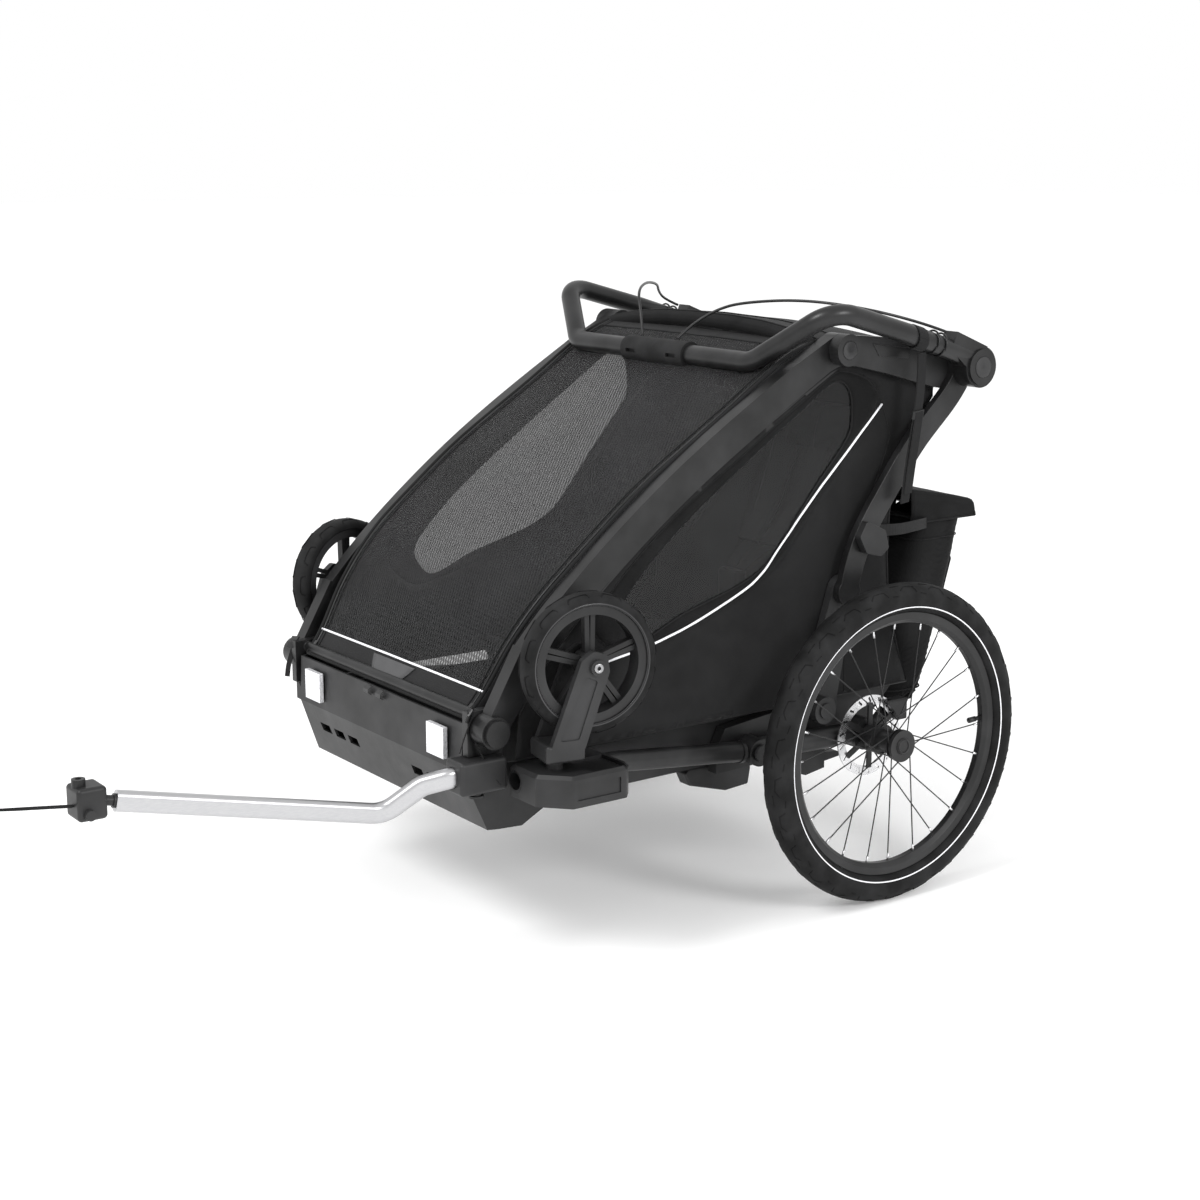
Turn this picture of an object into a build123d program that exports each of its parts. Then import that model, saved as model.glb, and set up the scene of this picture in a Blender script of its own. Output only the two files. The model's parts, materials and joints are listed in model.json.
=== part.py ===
from build123d import *
import os
from math import atan2, cos, degrees, pi, radians, sin, tan

# A folding two-seat child bicycle trailer with its hitch arm fitted and its stroller wheels stowed upside down.
# Millimetres. +Z is up, the front faces -Y and the trailer's left side is +X.
# Pieces are drawn with Y = 0 on the main axle and Z = 0 on the floor, then moved by FRAME_Y to the row's origin.

FRAME_Y = 458.0

# main wheels
WHEEL_X = 377.0
WHEEL_R = 250.0
TYRE_R = 23.5
TYRE_WALL = 3.0
RIM_SEAT_R = 206.3
RIM_INNER_R = 188.8
SPOKES_PER_FLANGE = 12
SPOKE_R = 1.0
HUB_FLANGE_R = 24.0
HUB_IN_X, HUB_OUT_X = 352.0, 387.0
HUB_END_X = 400.5
BUTTON_R = 13.0
ROTOR_X, ROTOR_R = 319.0, 64.0

# suspension arms
ARM_PIVOT = (-212.0, 256.0)
ARM_X = 300.0
ARM_R = 16.8
ARM_BOSS_HALF = 17.5
AXLE_Z = 250.0

# folding upper frame: side-view pivots as (y, z)
FRONT_HINGE = (-667.0, 357.0)
TOP_KNOB = (-46.0, 847.0)
REAR_PIVOT = (193.0, 811.0)
STRUT_FOOT = (-40.0, 481.0)
PILLAR_X0, PILLAR_X1 = 264.0, 288.0
RAIL_X0, RAIL_X1 = 272.0, 303.0
STRUT_X0, STRUT_X1 = 304.0, 316.0
BAR_HUB_X0, BAR_HUB_X1 = 317.5, 346.0
PIVOT_PIN_R = 8.0
RUNNING = 0.05

# handlebar
BAR_R = 15.5
BAR_SLEEVE_R = 20.0
BAR_SLEEVE_HALF = 79.0

# body of the cabin
TUB_HALF = 268.0
TUB_WALL = 4.0
PANEL_X = 286.4
PANEL_T = 2.4
COVER_HALF = 263.5
REAR_HALF = 283.0
SEAT_HALF = 232.0

# stroller wheels, stowed over the front corners
STEM = (337.0, -599.0)
STEM_R = 10.0
CASTER_R = 99.2
CASTER_HALF = 17.5
CASTER_TRAIL = 51.0
CASTER_Z = 451.0
CASTER_TOE = 11.0

# brake pedal
PEDAL_PIVOT = (-28.0, 186.0)

# hitch
HITCH_ROUTE = [(262, -642, 297), (259, -722, 294), (238, -752, 284), (214, -800, 246), (165, -1160, 320)]
HITCH_BENDS = [20, 34, 40]
HITCH_W, HITCH_H = 21.0, 28.0
PIN_BORE_R = 4.1

SIDES = {"left": 1, "right": -1}


# ---- shape helpers --------------------------------------------------------------------------------------

def box(x, y, z, round_by=0.0):
    """A box from three (low, high) spans, its edges rounded if asked."""
    solid = Pos((x[0] + x[1]) / 2, (y[0] + y[1]) / 2, (z[0] + z[1]) / 2) * Box(
        x[1] - x[0], y[1] - y[0], z[1] - z[0])
    return fillet(solid.edges(), round_by) if round_by else solid


def disc_x(x0, x1, yz, radius, bore=0.0):
    """A cylinder along X between x0 and x1, centred on yz, with an optional bore."""
    solid = Pos((x0 + x1) / 2, yz[0], yz[1]) * Rot(0, 90, 0) * Cylinder(radius, abs(x1 - x0))
    if bore:
        solid -= Pos((x0 + x1) / 2, yz[0], yz[1]) * Rot(0, 90, 0) * Cylinder(bore, abs(x1 - x0) + 2)
    return solid


def rod(start, end, radius):
    """A round bar from one point to another."""
    start, end = Vector(*start), Vector(*end)
    return extrude(Plane(start, z_dir=end - start) * Circle(radius), (end - start).length)


def prism_x(outline, x0, x1):
    """A (y, z) outline, of points or of edges, made solid between x0 and x1."""
    if isinstance(outline[0], tuple):
        face = make_face(Polyline([(0, y, z) for y, z in outline], close=True).edges())
    else:
        face = make_face(outline)
    solid = extrude(face, x1 - x0, dir=(1, 0, 0))
    return Pos(x0, 0, 0) * solid


def tube(route, bends, section_radius, wall=0.0):
    """A bent round tube along straight runs joined by tangent arcs."""
    path = FilletPolyline(*route, radius=bends)
    start = Plane(path @ 0, z_dir=path % 0)
    solid = sweep(start * Circle(section_radius), path=path)
    if wall:
        solid -= sweep(start * Circle(section_radius - wall), path=path)
    return solid


def flip(solid):
    """The same solid on the trailer's other side."""
    return mirror(solid, about=Plane.YZ)


def pair(solid):
    """A left piece and its mirror image, as one group."""
    return Compound(children=[*solid.solids(), *flip(solid).solids()])


def spine_band(points, half_width):
    """Edges of a curved band: an arc-like middle line offset to both sides, closed by round ends."""
    middle = [Vector(0, y, z) for y, z in points]
    normals = []
    for i, point in enumerate(middle):
        ahead = middle[min(i + 1, len(middle) - 1)] - middle[max(i - 1, 0)]
        ahead = ahead.normalized()
        normals.append(Vector(0, -ahead.Z, ahead.Y))
    upper = [p + n * half_width for p, n in zip(middle, normals)]
    lower = [p - n * half_width for p, n in zip(middle, normals)]
    first_out = (middle[0] - middle[1]).normalized() * half_width
    last_out = (middle[-1] - middle[-2]).normalized() * half_width
    return [
        Spline(*upper),
        ThreePointArc(upper[-1], middle[-1] + last_out, lower[-1]),
        Spline(*reversed(lower)),
        ThreePointArc(lower[0], middle[0] + first_out, upper[0]),
    ]


# ---- main wheels ----------------------------------------------------------------------------------------

def about_wheel(face):
    """Turn a profile drawn as (x, radius) about the main axle."""
    return revolve(face, Axis((0, 0, AXLE_Z), (1, 0, 0)))


def wheel_profile(points):
    """A closed profile given as (x from the wheel's middle, radius)."""
    return make_face(Polyline([(WHEEL_X + x, 0, AXLE_Z + r) for x, r in points], close=True).edges())


def tyre():
    centre = Plane((WHEEL_X, 0, AXLE_Z + WHEEL_R - TYRE_R), z_dir=(0, 1, 0))
    section = centre * (Circle(TYRE_R) - Circle(TYRE_R - TYRE_WALL))
    solid = about_wheel(section)
    hub_side = disc_x(WHEEL_X - 40, WHEEL_X + 40, (0, AXLE_Z), RIM_SEAT_R)
    return solid - hub_side


def rim():
    outline = [(-12, RIM_SEAT_R), (12, RIM_SEAT_R), (11, 195), (5, RIM_INNER_R), (-5, RIM_INNER_R), (-11, 195)]
    hollow = [(-9, 203), (9, 203), (8.6, 196.5), (3.8, 191.2), (-3.8, 191.2), (-8.6, 196.5)]
    return about_wheel(wheel_profile(outline) - wheel_profile(hollow))


def spoke_set():
    spokes = []
    pitch = 2 * pi / SPOKES_PER_FLANGE
    for flange, x in enumerate((HUB_IN_X + 1.5, HUB_OUT_X + 1.5)):
        for i in range(SPOKES_PER_FLANGE):
            lean = 1 if i % 2 else -1
            at_rim = (i + 0.5 * flange) * pitch
            at_hub = at_rim + lean * radians(68)
            side = -1 if flange == 0 else 1
            hub_x = x + lean * (4.6 if lean == side else 2.8)
            hub_r = HUB_FLANGE_R - 3.0
            start = (hub_x, hub_r * cos(at_hub), AXLE_Z + hub_r * sin(at_hub))
            end_r = RIM_INNER_R - 0.4
            end = (WHEEL_X + side * 2.5, end_r * cos(at_rim), AXLE_Z + end_r * sin(at_rim))
            spokes.append(rod(start, end, SPOKE_R))
    return Compound(children=[s.solids()[0] for s in spokes])


def hub():
    centre = (0, AXLE_Z)
    body = disc_x(324, HUB_IN_X, centre, 17)
    body += disc_x(HUB_IN_X, HUB_IN_X + 3, centre, HUB_FLANGE_R)
    body += disc_x(HUB_IN_X + 3, HUB_OUT_X, centre, 16.5)
    body += disc_x(HUB_OUT_X, HUB_OUT_X + 3, centre, HUB_FLANGE_R)
    body += disc_x(HUB_OUT_X + 3, HUB_END_X, centre, 16.5)
    body += disc_x(HUB_OUT_X + 7.6, HUB_END_X, centre, 25)
    for i in range(6):
        angle = i * 60
        arm = Pos(326, 0, AXLE_Z) * Rot(angle, 0, 0) * Pos(0, 0, 34) * Box(3.2, 9, 36)
        body += arm
    body -= disc_x(384, HUB_END_X + 1, centre, BUTTON_R + 0.2)
    body -= disc_x(320, 372, centre, 6.05)
    return body


def rotor():
    centre = (0, AXLE_Z)
    ring = disc_x(ROTOR_X + 3.4, ROTOR_X + 5.4, centre, ROTOR_R, 49)
    slots = 18
    for i in range(slots):
        hole = Pos(ROTOR_X + 4.4, 0, AXLE_Z) * Rot(360 / slots * i, 0, 0) * Pos(0, 0, 57) * Rot(28, 0, 0)
        ring -= hole * Box(6, 3.4, 9)
    return ring


def axle_button():
    centre = (0, AXLE_Z)
    return disc_x(389, 402.4, centre, BUTTON_R)


def stub_axle():
    """The wheel's fixed axle, part of the arm; the hub's bore turns on it."""
    return disc_x(ARM_X, 370, (0, AXLE_Z), 6.0)


# ---- suspension arm and brake ---------------------------------------------------------------------------

def suspension_arm():
    arm = rod((ARM_X, ARM_PIVOT[0], ARM_PIVOT[1]), (ARM_X, 0, AXLE_Z), ARM_R)
    arm += disc_x(ARM_X - ARM_BOSS_HALF, ARM_X + ARM_BOSS_HALF, ARM_PIVOT, 21)
    arm += disc_x(ARM_X - ARM_BOSS_HALF, 318, (0, AXLE_Z), 25)
    arm += stub_axle()
    bracket = prism_x([(10, 262), (38, 286), (62, 296), (70, 284), (52, 262), (20, 244)], 306, 314)
    arm += bracket
    arm -= disc_x(ARM_X - 30, ARM_X + 30, ARM_PIVOT, PIVOT_PIN_R + RUNNING)
    return arm


def brake_caliper():
    middle = (50, 284)
    body = box((314, 334), (middle[0] - 20, middle[0] + 22), (middle[1] - 17, middle[1] + 17), 3)
    slot = disc_x(ROTOR_X + 1.4, ROTOR_X + 7.4, (0, AXLE_Z), ROTOR_R + 3)
    hub_room = disc_x(300, 345, (0, AXLE_Z), 55)
    return body - slot - (hub_room & box((300, 345), (-60, 60), (180, 320)))


# ---- chassis --------------------------------------------------------------------------------------------

def side_tube():
    route = [(ARM_X, -640, 286), (ARM_X, -470, 284), (ARM_X, -242, 259)]
    tubes = tube(route, 200, BAR_R, 2.5)
    cap = rod((ARM_X, -242, 259), (ARM_X, -236, 258.3), BAR_R + 1.5)
    return tubes + cap


def strut_bracket():
    """Casting at the rear end of a side tube: the arm's pivot cheek, the fold's foot plate and its knob."""
    cheek = prism_x([(-268, 224), (-268, 262), (-252, 292), (-120, 306), (-52, 300), (-52, 196), (-90, 190),
                     (-190, 226)], 262, 281)
    upright = prism_x([(-150, 292), (-112, 330), (-62, 488), (-18, 474), (-52, 300), (-56, 292)], 289, 302.6)
    upright += disc_x(289, 302.6, STRUT_FOOT, 23)
    web = prism_x([(-150, 292), (-130, 312), (-56, 312), (-56, 292)], 262, 289)
    body = cheek + upright + web
    body += disc_x(281, 318, ARM_PIVOT, PIVOT_PIN_R)
    body += disc_x(318.5, 323, ARM_PIVOT, 13) + disc_x(317, 319, ARM_PIVOT, PIVOT_PIN_R)
    body += disc_x(302.6, 326, (-92, 304), 21)
    body += disc_x(326, 329, (-92, 304), 12)
    return body


def axle_beam():
    """Aluminium cross tube under the floor, with the two ears that carry the brake pedal."""
    beam = rod((-262, -75, 208), (262, -75, 208), 14) - rod((-263, -75, 208), (263, -75, 208), 11.5)
    for x0 in (161, 214):
        ear = prism_x([(-68, 200), (-62, 212), (-30, 200), (-18, 186), (-28, 176), (-66, 190)], x0, x0 + 5)
        beam += ear - rod((-263, -75, 208), (263, -75, 208), 13)
    return beam + disc_x(161, 219, PEDAL_PIVOT, 4.0)


def tub_outline(inset=0.0, lift=0.0):
    return [(-686 + inset, 366), (-690 + inset, 292), (-655 + inset, 204 + lift), (-604, 204 + lift),
            (-560, 232 + lift), (-60, 232 + lift), (40 - inset, 232 + lift), (110 - inset, 300), (110 - inset, 366)]


def tub_plan(inset=0.0):
    half = TUB_HALF - inset
    points = [(238 - inset, -695), (half - 12, -640), (half, -560), (262 - inset, -470), (255 - inset, 115)]
    outline = points + [(-x, y) for x, y in reversed(points)]
    return extrude(make_face(Polyline([(x, y, 0) for x, y in outline], close=True).edges()), 500)


def tub():
    """The open moulded floor: deep footwell in front, low side walls, a raised front wall."""
    outer = prism_x(tub_outline(), -TUB_HALF, TUB_HALF) & tub_plan()
    inner = prism_x(tub_outline(TUB_WALL, TUB_WALL) , -TUB_HALF, TUB_HALF) & tub_plan(TUB_WALL)
    shell = outer - inner
    shell -= box((-300, 300), (-630, 200), (300, 500))
    shell -= box((-300, 300), (-700, -620), (362, 500))
    for side in (1, -1):
        for step in range(3):
            x = side * (96 + 44 * step)
            shell -= box((x - 15, x + 15), (-700, -640), (248, 262))
    return shell


def front_reflector():
    plate = box((160, 206), (-698.5, -690.6), (304, 350))
    return plate & tub_plan_grown()


def tub_plan_grown():
    half = 238 + 12
    return box((-half, half), (-705, -600), (0, 500))


def bumper_frame():
    """Cross tube behind the bumper's top edge, with the two brackets that hold the front hinge pins."""
    frame = rod((-252, -668, 372), (252, -668, 372), 9)
    for side in (1, -1):
        plate = box((248, 262), (-692, -640), (318, 384))
        pin = disc_x(262, 296, FRONT_HINGE, PIVOT_PIN_R)
        bracket = plate + pin
        frame += bracket if side == 1 else flip(bracket)
    return frame


def wheel_socket():
    plan = [(284, -640), (352, -640), (390, -604), (390, -514), (372, -498), (284, -498)]
    body = extrude(make_face(Polyline([(x, y, 262) for x, y in plan], close=True).edges()), 45)
    body = fillet(body.edges().filter_by(Axis.Z), 7)
    top = body.faces().sort_by(Axis.Z)[-1]
    body = chamfer(top.edges(), 5)
    body -= box((322, 382), (-566, -508), (302, 312))
    body -= box((388, 395), (-596, -524), (272, 294))
    body -= rod((ARM_X, -660, 286.2), (ARM_X, -470, 284), BAR_R + 0.4)
    body -= Pos(STEM[0], STEM[1], 290) * Cylinder(STEM_R + 2.05, 60)
    return body


def support_foot():
    return prism_x([(-309, 224), (-300, 232), (-196, 232), (-181, 215), (-186, 188), (-230, 185), (-300, 205)],
                   232, 258)


# ---- folding upper frame --------------------------------------------------------------------------------

PILLAR_LINE = [FRONT_HINGE, (-600, 450), (-528, 523), (-440, 598), (-359, 659), (-240, 737), (-121, 808), TOP_KNOB]


def pillar():
    """One front pillar: a broad curved blade with a hinge barrel at its foot and an eye at its top."""
    blade = prism_x(spine_band(PILLAR_LINE[1:-1], 24), PILLAR_X0, PILLAR_X1)
    foot = prism_x([(-686, 352), (-618, 470), (-580, 440), (-649, 346)], PILLAR_X0, PILLAR_X1)
    top = prism_x([(-145, 822), (-55, 869), (-37, 825), (-112, 782)], PILLAR_X0, PILLAR_X1)
    solid = blade + foot + top
    solid += disc_x(PILLAR_X0, PILLAR_X1, TOP_KNOB, 24)
    solid += disc_x(PILLAR_X0, 296, FRONT_HINGE, 23)
    solid += disc_x(296, 302, FRONT_HINGE, 19)
    solid -= disc_x(PILLAR_X0 - 5, 296.6, FRONT_HINGE, PIVOT_PIN_R + RUNNING)
    solid += disc_x(PILLAR_X1, 305.5, TOP_KNOB, PIVOT_PIN_R)
    return solid


def front_frame():
    left = pillar()
    cross = rod((-PILLAR_X0 - 1, -66, 830), (PILLAR_X0 + 1, -66, 830), 11)
    return left + flip(left) + cross


def top_rail():
    outline = [(-44, 868), (-19, 867), (42, 861), (127, 840), (185, 842), (224, 822), (224, 796), (193, 779),
               (147, 778), (91, 792), (34, 808), (-27, 822), (-50, 824)]
    rail = prism_x(outline, RAIL_X0, RAIL_X1)
    rail += disc_x(RAIL_X0, RAIL_X1, REAR_PIVOT, 32)
    rail += disc_x(288.6, RAIL_X1, TOP_KNOB, 24)
    rail -= disc_x(RAIL_X0 - 2, 288.6, TOP_KNOB, 26)
    rail -= disc_x(288, 310, TOP_KNOB, PIVOT_PIN_R + RUNNING)
    rail += disc_x(305.6, 309, TOP_KNOB, 24) + disc_x(RAIL_X1, 305.6, TOP_KNOB, 24, 14)
    rail += disc_x(RAIL_X1, 347, REAR_PIVOT, PIVOT_PIN_R)
    return rail


def top_frame():
    left = top_rail()
    cross = rod((-RAIL_X0 - 1, 150, 800), (RAIL_X0 + 1, 150, 800), 11)
    return left + flip(left) + cross


STRUT_LINE = [REAR_PIVOT, (157, 762), (101, 710), (36, 632), (-13, 562), STRUT_FOOT]


def rear_strut():
    band = prism_x(spine_band(STRUT_LINE, 19), STRUT_X0, STRUT_X1)
    band += disc_x(STRUT_X0, STRUT_X1, REAR_PIVOT, 30)
    band += disc_x(STRUT_X0, STRUT_X1, STRUT_FOOT, 22)
    band -= disc_x(STRUT_X0 - 2, STRUT_X1 + 2, REAR_PIVOT, PIVOT_PIN_R + RUNNING)
    band -= disc_x(STRUT_X0 - 2, STRUT_X1 + 2, (-13, 562), 5.05)
    return band


def fold_latch():
    """Lever on a rear strut that frees its foot; it turns on a pin in the strut."""
    pin = disc_x(STRUT_X0 + 1, 330, (-13, 562), 5)
    lever = prism_x([(-34, 566), (-20, 590), (18, 572), (26, 544), (10, 532), (-20, 540)], STRUT_X1 + 0.5, 330)
    return pin + fillet(lever.edges().filter_by(Axis.X), 5)


def handlebar():
    right = [(-332, 176, 828), (-335, 45, 869), (-339, -106, 911), (-224, -166, 829)]
    left = [(-x, y, z) for x, y, z in reversed(right)]
    bar = tube(right + left, [60, 48, 40, 40, 48, 60], BAR_R, 3.0)
    bar -= disc_x(-BAR_SLEEVE_HALF, BAR_SLEEVE_HALF, (-166, 829), BAR_R + 1)
    bar += disc_x(-BAR_SLEEVE_HALF, BAR_SLEEVE_HALF, (-166, 829), 9)
    for side in (1, -1):
        hub_disc = disc_x(BAR_HUB_X0, BAR_HUB_X1, REAR_PIVOT, 32)
        arm_root = prism_x([(128, 840), (140, 868), (205, 842), (190, 806), (170, 806)], BAR_HUB_X0, BAR_HUB_X1)
        boss = hub_disc + arm_root
        boss -= disc_x(BAR_HUB_X0 - 1, 347.1, REAR_PIVOT, PIVOT_PIN_R + RUNNING)
        boss += disc_x(347.2, 350, REAR_PIVOT, 28) + disc_x(BAR_HUB_X1, 347.2, REAR_PIVOT, 28, 12)
        bar += boss if side == 1 else flip(boss)
    return bar


def brake_sleeve():
    """Twist sleeve on the middle of the bar that works the parking brake."""
    half = BAR_SLEEVE_HALF - 0.5
    sleeve = disc_x(-half, half, (-166, 829), BAR_SLEEVE_R, 9 + RUNNING)
    for x in (-52, 52):
        sleeve -= box((x - 12, x + 12), (-190, -180), (824, 830))
    return sleeve


# ---- cabin: soft pieces as plain closed solids ----------------------------------------------------------

def cover_line(offset):
    """The front cover's side-view curve, set off from the pillars' middle line."""
    return [(y - offset * 0.62, z + offset * 0.78) for y, z in
            [(-640, 392), (-600, 450), (-528, 523), (-440, 598), (-359, 659), (-240, 737), (-121, 808), (-80, 830)]]


def band_between(low, high, x0, x1):
    edges = [Spline(*[(0, y, z) for y, z in low]),
             Line((0, *low[-1]), (0, *high[-1])),
             Spline(*[(0, y, z) for y, z in reversed(high)]),
             Line((0, *high[0]), (0, *low[0]))]
    return prism_x(edges, x0, x1)


def front_cover():
    sheet = band_between(cover_line(17.5), cover_line(20), -COVER_HALF, COVER_HALF)
    plan = [(244, -700), (COVER_HALF, -420), (COVER_HALF, 0)]
    outline = plan + [(-x, y) for x, y in reversed(plan)]
    return sheet & extrude(make_face(Polyline([(x, y, 300) for x, y in outline], close=True).edges()), 600)


def roof():
    """Crowned roof cloth between the top rails."""
    low_edge, crown, thick, half = 858.0, 884.0, 2.5, 262.0
    sections = []
    for y, drop in ((-74, 0), (20, 3), (100, 14), (182, 34)):
        side = low_edge - drop
        mid = crown - drop * 0.9
        upper = ThreePointArc((-half, y, side), (0, y, mid), (half, y, side))
        lower = ThreePointArc((half, y, side - thick), (0, y, mid - thick), (-half, y, side - thick))
        sections.append(make_face([upper, Line(upper @ 1, lower @ 0), lower, Line(lower @ 1, upper @ 0)]))
    return loft(sections, ruled=True)


WINDOW = [(-415, 452), (-340, 480), (-255, 503), (-212, 518), (-177, 538), (-142, 576), (-89, 641), (-40, 696),
          (-20, 726), (-21, 768), (-29, 790), (-48, 798), (-69, 792), (-100, 770), (-250, 672), (-333, 614),
          (-415, 550), (-440, 500)]
PANEL = [(-624, 311), (-617, 372), (-579, 428), (-509, 501), (-423, 575), (-343, 635), (-225, 712), (-108, 779),
         (-62, 805), (-27, 818), (20, 808), (90, 788), (140, 774), (122, 700), (113, 560), (111, 420), (110, 313)]


def side_panel():
    return prism_x(PANEL, PANEL_X - PANEL_T, PANEL_X) - prism_x(WINDOW, PANEL_X - 10, PANEL_X + 10)


def side_window():
    return prism_x(WINDOW, PANEL_X - PANEL_T + 0.6, PANEL_X - 0.6)


def rear_panel():
    """Cloth back of the cabin, from the roof's rear edge down to the tub's rear wall."""
    line = [(150, 770), (128, 700), (118, 560), (116, 420), (114, 306)]
    back = [(y + 3, z) for y, z in line]
    return prism_x(line + back[::-1], -REAR_HALF, REAR_HALF)


def seat():
    """One sewn sling seat: padded base and tall back."""
    base = prism_x([(-345, 322), (-345, 362), (-330, 372), (-96, 372), (-50, 352), (-50, 322)], -SEAT_HALF, SEAT_HALF)
    back = prism_x([(-64, 345), (-40, 340), (104, 738), (84, 752)], -SEAT_HALF, SEAT_HALF)
    return base + back


def harness_straps():
    """Shoulder and crotch webbing for two children."""
    straps = []
    for child in (-1, 1):
        for shoulder in (-1, 1):
            x = child * 116 + shoulder * 50
            straps.append(shoulder_strap(x))
        x = child * 116
        straps.append(prism_x([(-150, 372.2), (-150, 374.6), (-110, 440), (-106, 438), (-146, 372.2)],
                              x - 15, x + 15))
    return Compound(children=[s.solids()[0] for s in straps])


def shoulder_strap(x):
    """Webbing that lies on the front of the seat back."""
    foot, along = Vector(0, -64.5, 345), Vector(0, 148, 407).normalized()
    out = Vector(0, -along.Z, along.Y)
    points = [foot + along * a + out * b for a, b in ((90, 0.4), (380, 0.4), (380, 3), (90, 3))]
    return prism_x([(p.Y, p.Z) for p in points], x - 12, x + 12)


def harness_buckles():
    buckles = []
    for child in (-1, 1):
        x = child * 116
        buckles.append(box((x - 24, x + 24), (-118, -98), (441, 492), 5))
    return Compound(children=[b.solids()[0] for b in buckles])


# ---- cargo bag ------------------------------------------------------------------------------------------

BAG_HALF = 228.0
BAG_HINGE = (162.0, 605.0)


def bag_profile(inset=0.0):
    return [(132 + inset, 258 + inset), (208 - inset, 272 + inset), (258 - inset, 430), (283 - inset, 497),
            (298 - inset, 566), (196 + inset, 566), (160 + inset, 450)]


def cargo_bag():
    outer = prism_x(bag_profile(), -BAG_HALF, BAG_HALF)
    inner = prism_x(bag_profile(3), -BAG_HALF + 3, BAG_HALF - 3)
    mouth = box((-BAG_HALF + 3, BAG_HALF - 3), (200, 294), (556, 570))
    return outer - inner - mouth


def bag_lid():
    lid = prism_x([(162, 608), (292, 578), (305, 572), (304, 554), (301, 554), (301, 568), (165, 602)],
                  -BAG_HALF - 4, BAG_HALF + 4)
    return lid + disc_x(-BAG_HALF - 4, BAG_HALF + 4, BAG_HINGE, 3)


# ---- brake pedal ----------------------------------------------------------------------------------------

def brake_pedal():
    body = prism_x([(-36, 176), (-36, 196), (-18, 196), (40, 190), (44, 182), (-10, 176)], 168, 212)
    pedal = fillet(body.edges().filter_by(Axis.X), 3)
    return pedal - disc_x(160, 220, PEDAL_PIVOT, 4.05)


# ---- stroller wheels ------------------------------------------------------------------------------------

def caster_place(solid):
    """From the fork's own frame (stem on Z, wheel axle along X) to the left front corner."""
    return Pos(STEM[0], STEM[1], 0) * Rot(0, 0, -CASTER_TOE) * solid


AXLE_AT = (CASTER_TRAIL, CASTER_Z)


def caster_stem():
    stem = Pos(0, 0, 296) * Cylinder(STEM_R + 2, 40) + Pos(0, 0, 318) * Cylinder(16, 4)
    stem -= Pos(0, 0, 305) * Cylinder(7.05, 60)
    return caster_place(stem)


def caster_fork():
    crown = box((-31, 31), (-24, 34), (321, 347), 5)
    fork = crown + Pos(0, 0, 303) * Cylinder(7, 40)
    for x0, x1 in ((20.5, 31), (-31, -20.5)):
        leg = prism_x([(-20, 336), (32, 336), (70, 444), (66, 468), (46, 474), (28, 462)], x0, x1)
        leg = fillet(leg.edges().filter_by(Axis.X), 8)
        fork += leg
    panel = prism_x([(-6, 352), (24, 352), (52, 432), (34, 440)], 29, 32)
    fork -= fillet(panel.edges().filter_by(Axis.X), 4)
    fork += disc_x(-36, 36, AXLE_AT, 6)
    fork += disc_x(31, 36, AXLE_AT, 11)
    fork -= disc_x(34.6, 37, AXLE_AT, 4.5)
    fork -= disc_x(-38, -36, AXLE_AT, 8)
    return caster_place(fork)


def caster_rim():
    ring = disc_x(-14, 14, AXLE_AT, 84, 70)
    ring += disc_x(-16.5, 16.5, AXLE_AT, 17)
    for i in range(5):
        for lean in (-1, 1):
            spoke = Pos(0, *AXLE_AT) * Rot(72 * i + 8 * lean, 0, 0) * Pos(0, lean * 2, 44) * Rot(-7 * lean, 0, 0)
            ring += spoke * Box(12, 7, 60)
    ring &= disc_x(-20, 20, AXLE_AT, 84)
    ring -= disc_x(-20, 20, AXLE_AT, 6.05)
    return caster_place(ring)


def caster_tyre():
    outer = disc_x(-CASTER_HALF, CASTER_HALF, AXLE_AT, CASTER_R)
    outer = fillet(outer.edges().filter_by(GeomType.CIRCLE), 6)
    outer -= disc_x(-30, 30, AXLE_AT, 84)
    return caster_place(outer)


# ---- hitch ----------------------------------------------------------------------------------------------

def hitch_path():
    return FilletPolyline(*HITCH_ROUTE, radius=HITCH_BENDS)


def hitch_arm():
    path = hitch_path()
    start = Plane(path @ 0, x_dir=(1, 0, 0), z_dir=path % 0)
    arm = sweep(start * RectangleRounded(HITCH_W, HITCH_H, 8), path=path)
    inner = sweep(start * RectangleRounded(HITCH_W - 4, HITCH_H - 4, 6), path=path)
    arm -= inner
    end, along = hitch_end()
    plug_plane = Plane(end - along * 12, x_dir=(1, 0, 0), z_dir=along)
    plug = extrude(plug_plane * RectangleRounded(HITCH_W - 4, HITCH_H - 4, 6), 12)
    return arm + plug + extrude(Plane(end, x_dir=(1, 0, 0), z_dir=along) * RectangleRounded(HITCH_W, HITCH_H, 8), 5)


def hitch_end():
    path = hitch_path()
    return path @ 1, (path % 1).normalized()


def hitch_socket():
    """Clamp on the front left corner that takes the hitch arm."""
    body = box((240, 284), (-716, -640), (270, 318), 6)
    start, end = Vector(*HITCH_ROUTE[0]), Vector(*HITCH_ROUTE[1])
    bore = extrude(Plane(start, x_dir=(1, 0, 0), z_dir=end - start) * RectangleRounded(HITCH_W + 0.6, HITCH_H + 0.6, 8),
                   120)
    body -= bore
    body -= Pos(262, -680, 272) * Cylinder(8.1, 13)
    return body


def hitch_release():
    return Pos(262, -680, 268) * Cylinder(8, 10) + Pos(262, -680, 262) * Cylinder(11, 3)


def coupler_neck():
    end, along = hitch_end()
    neck = extrude(Plane(end + along * 5.3, z_dir=along) * Circle(7), 22)
    collar = extrude(Plane(end + along * 5.3, z_dir=along) * Circle(9.5), 3)
    return neck + collar + Pos(*(end + along * 34)) * Sphere(11)


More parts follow.
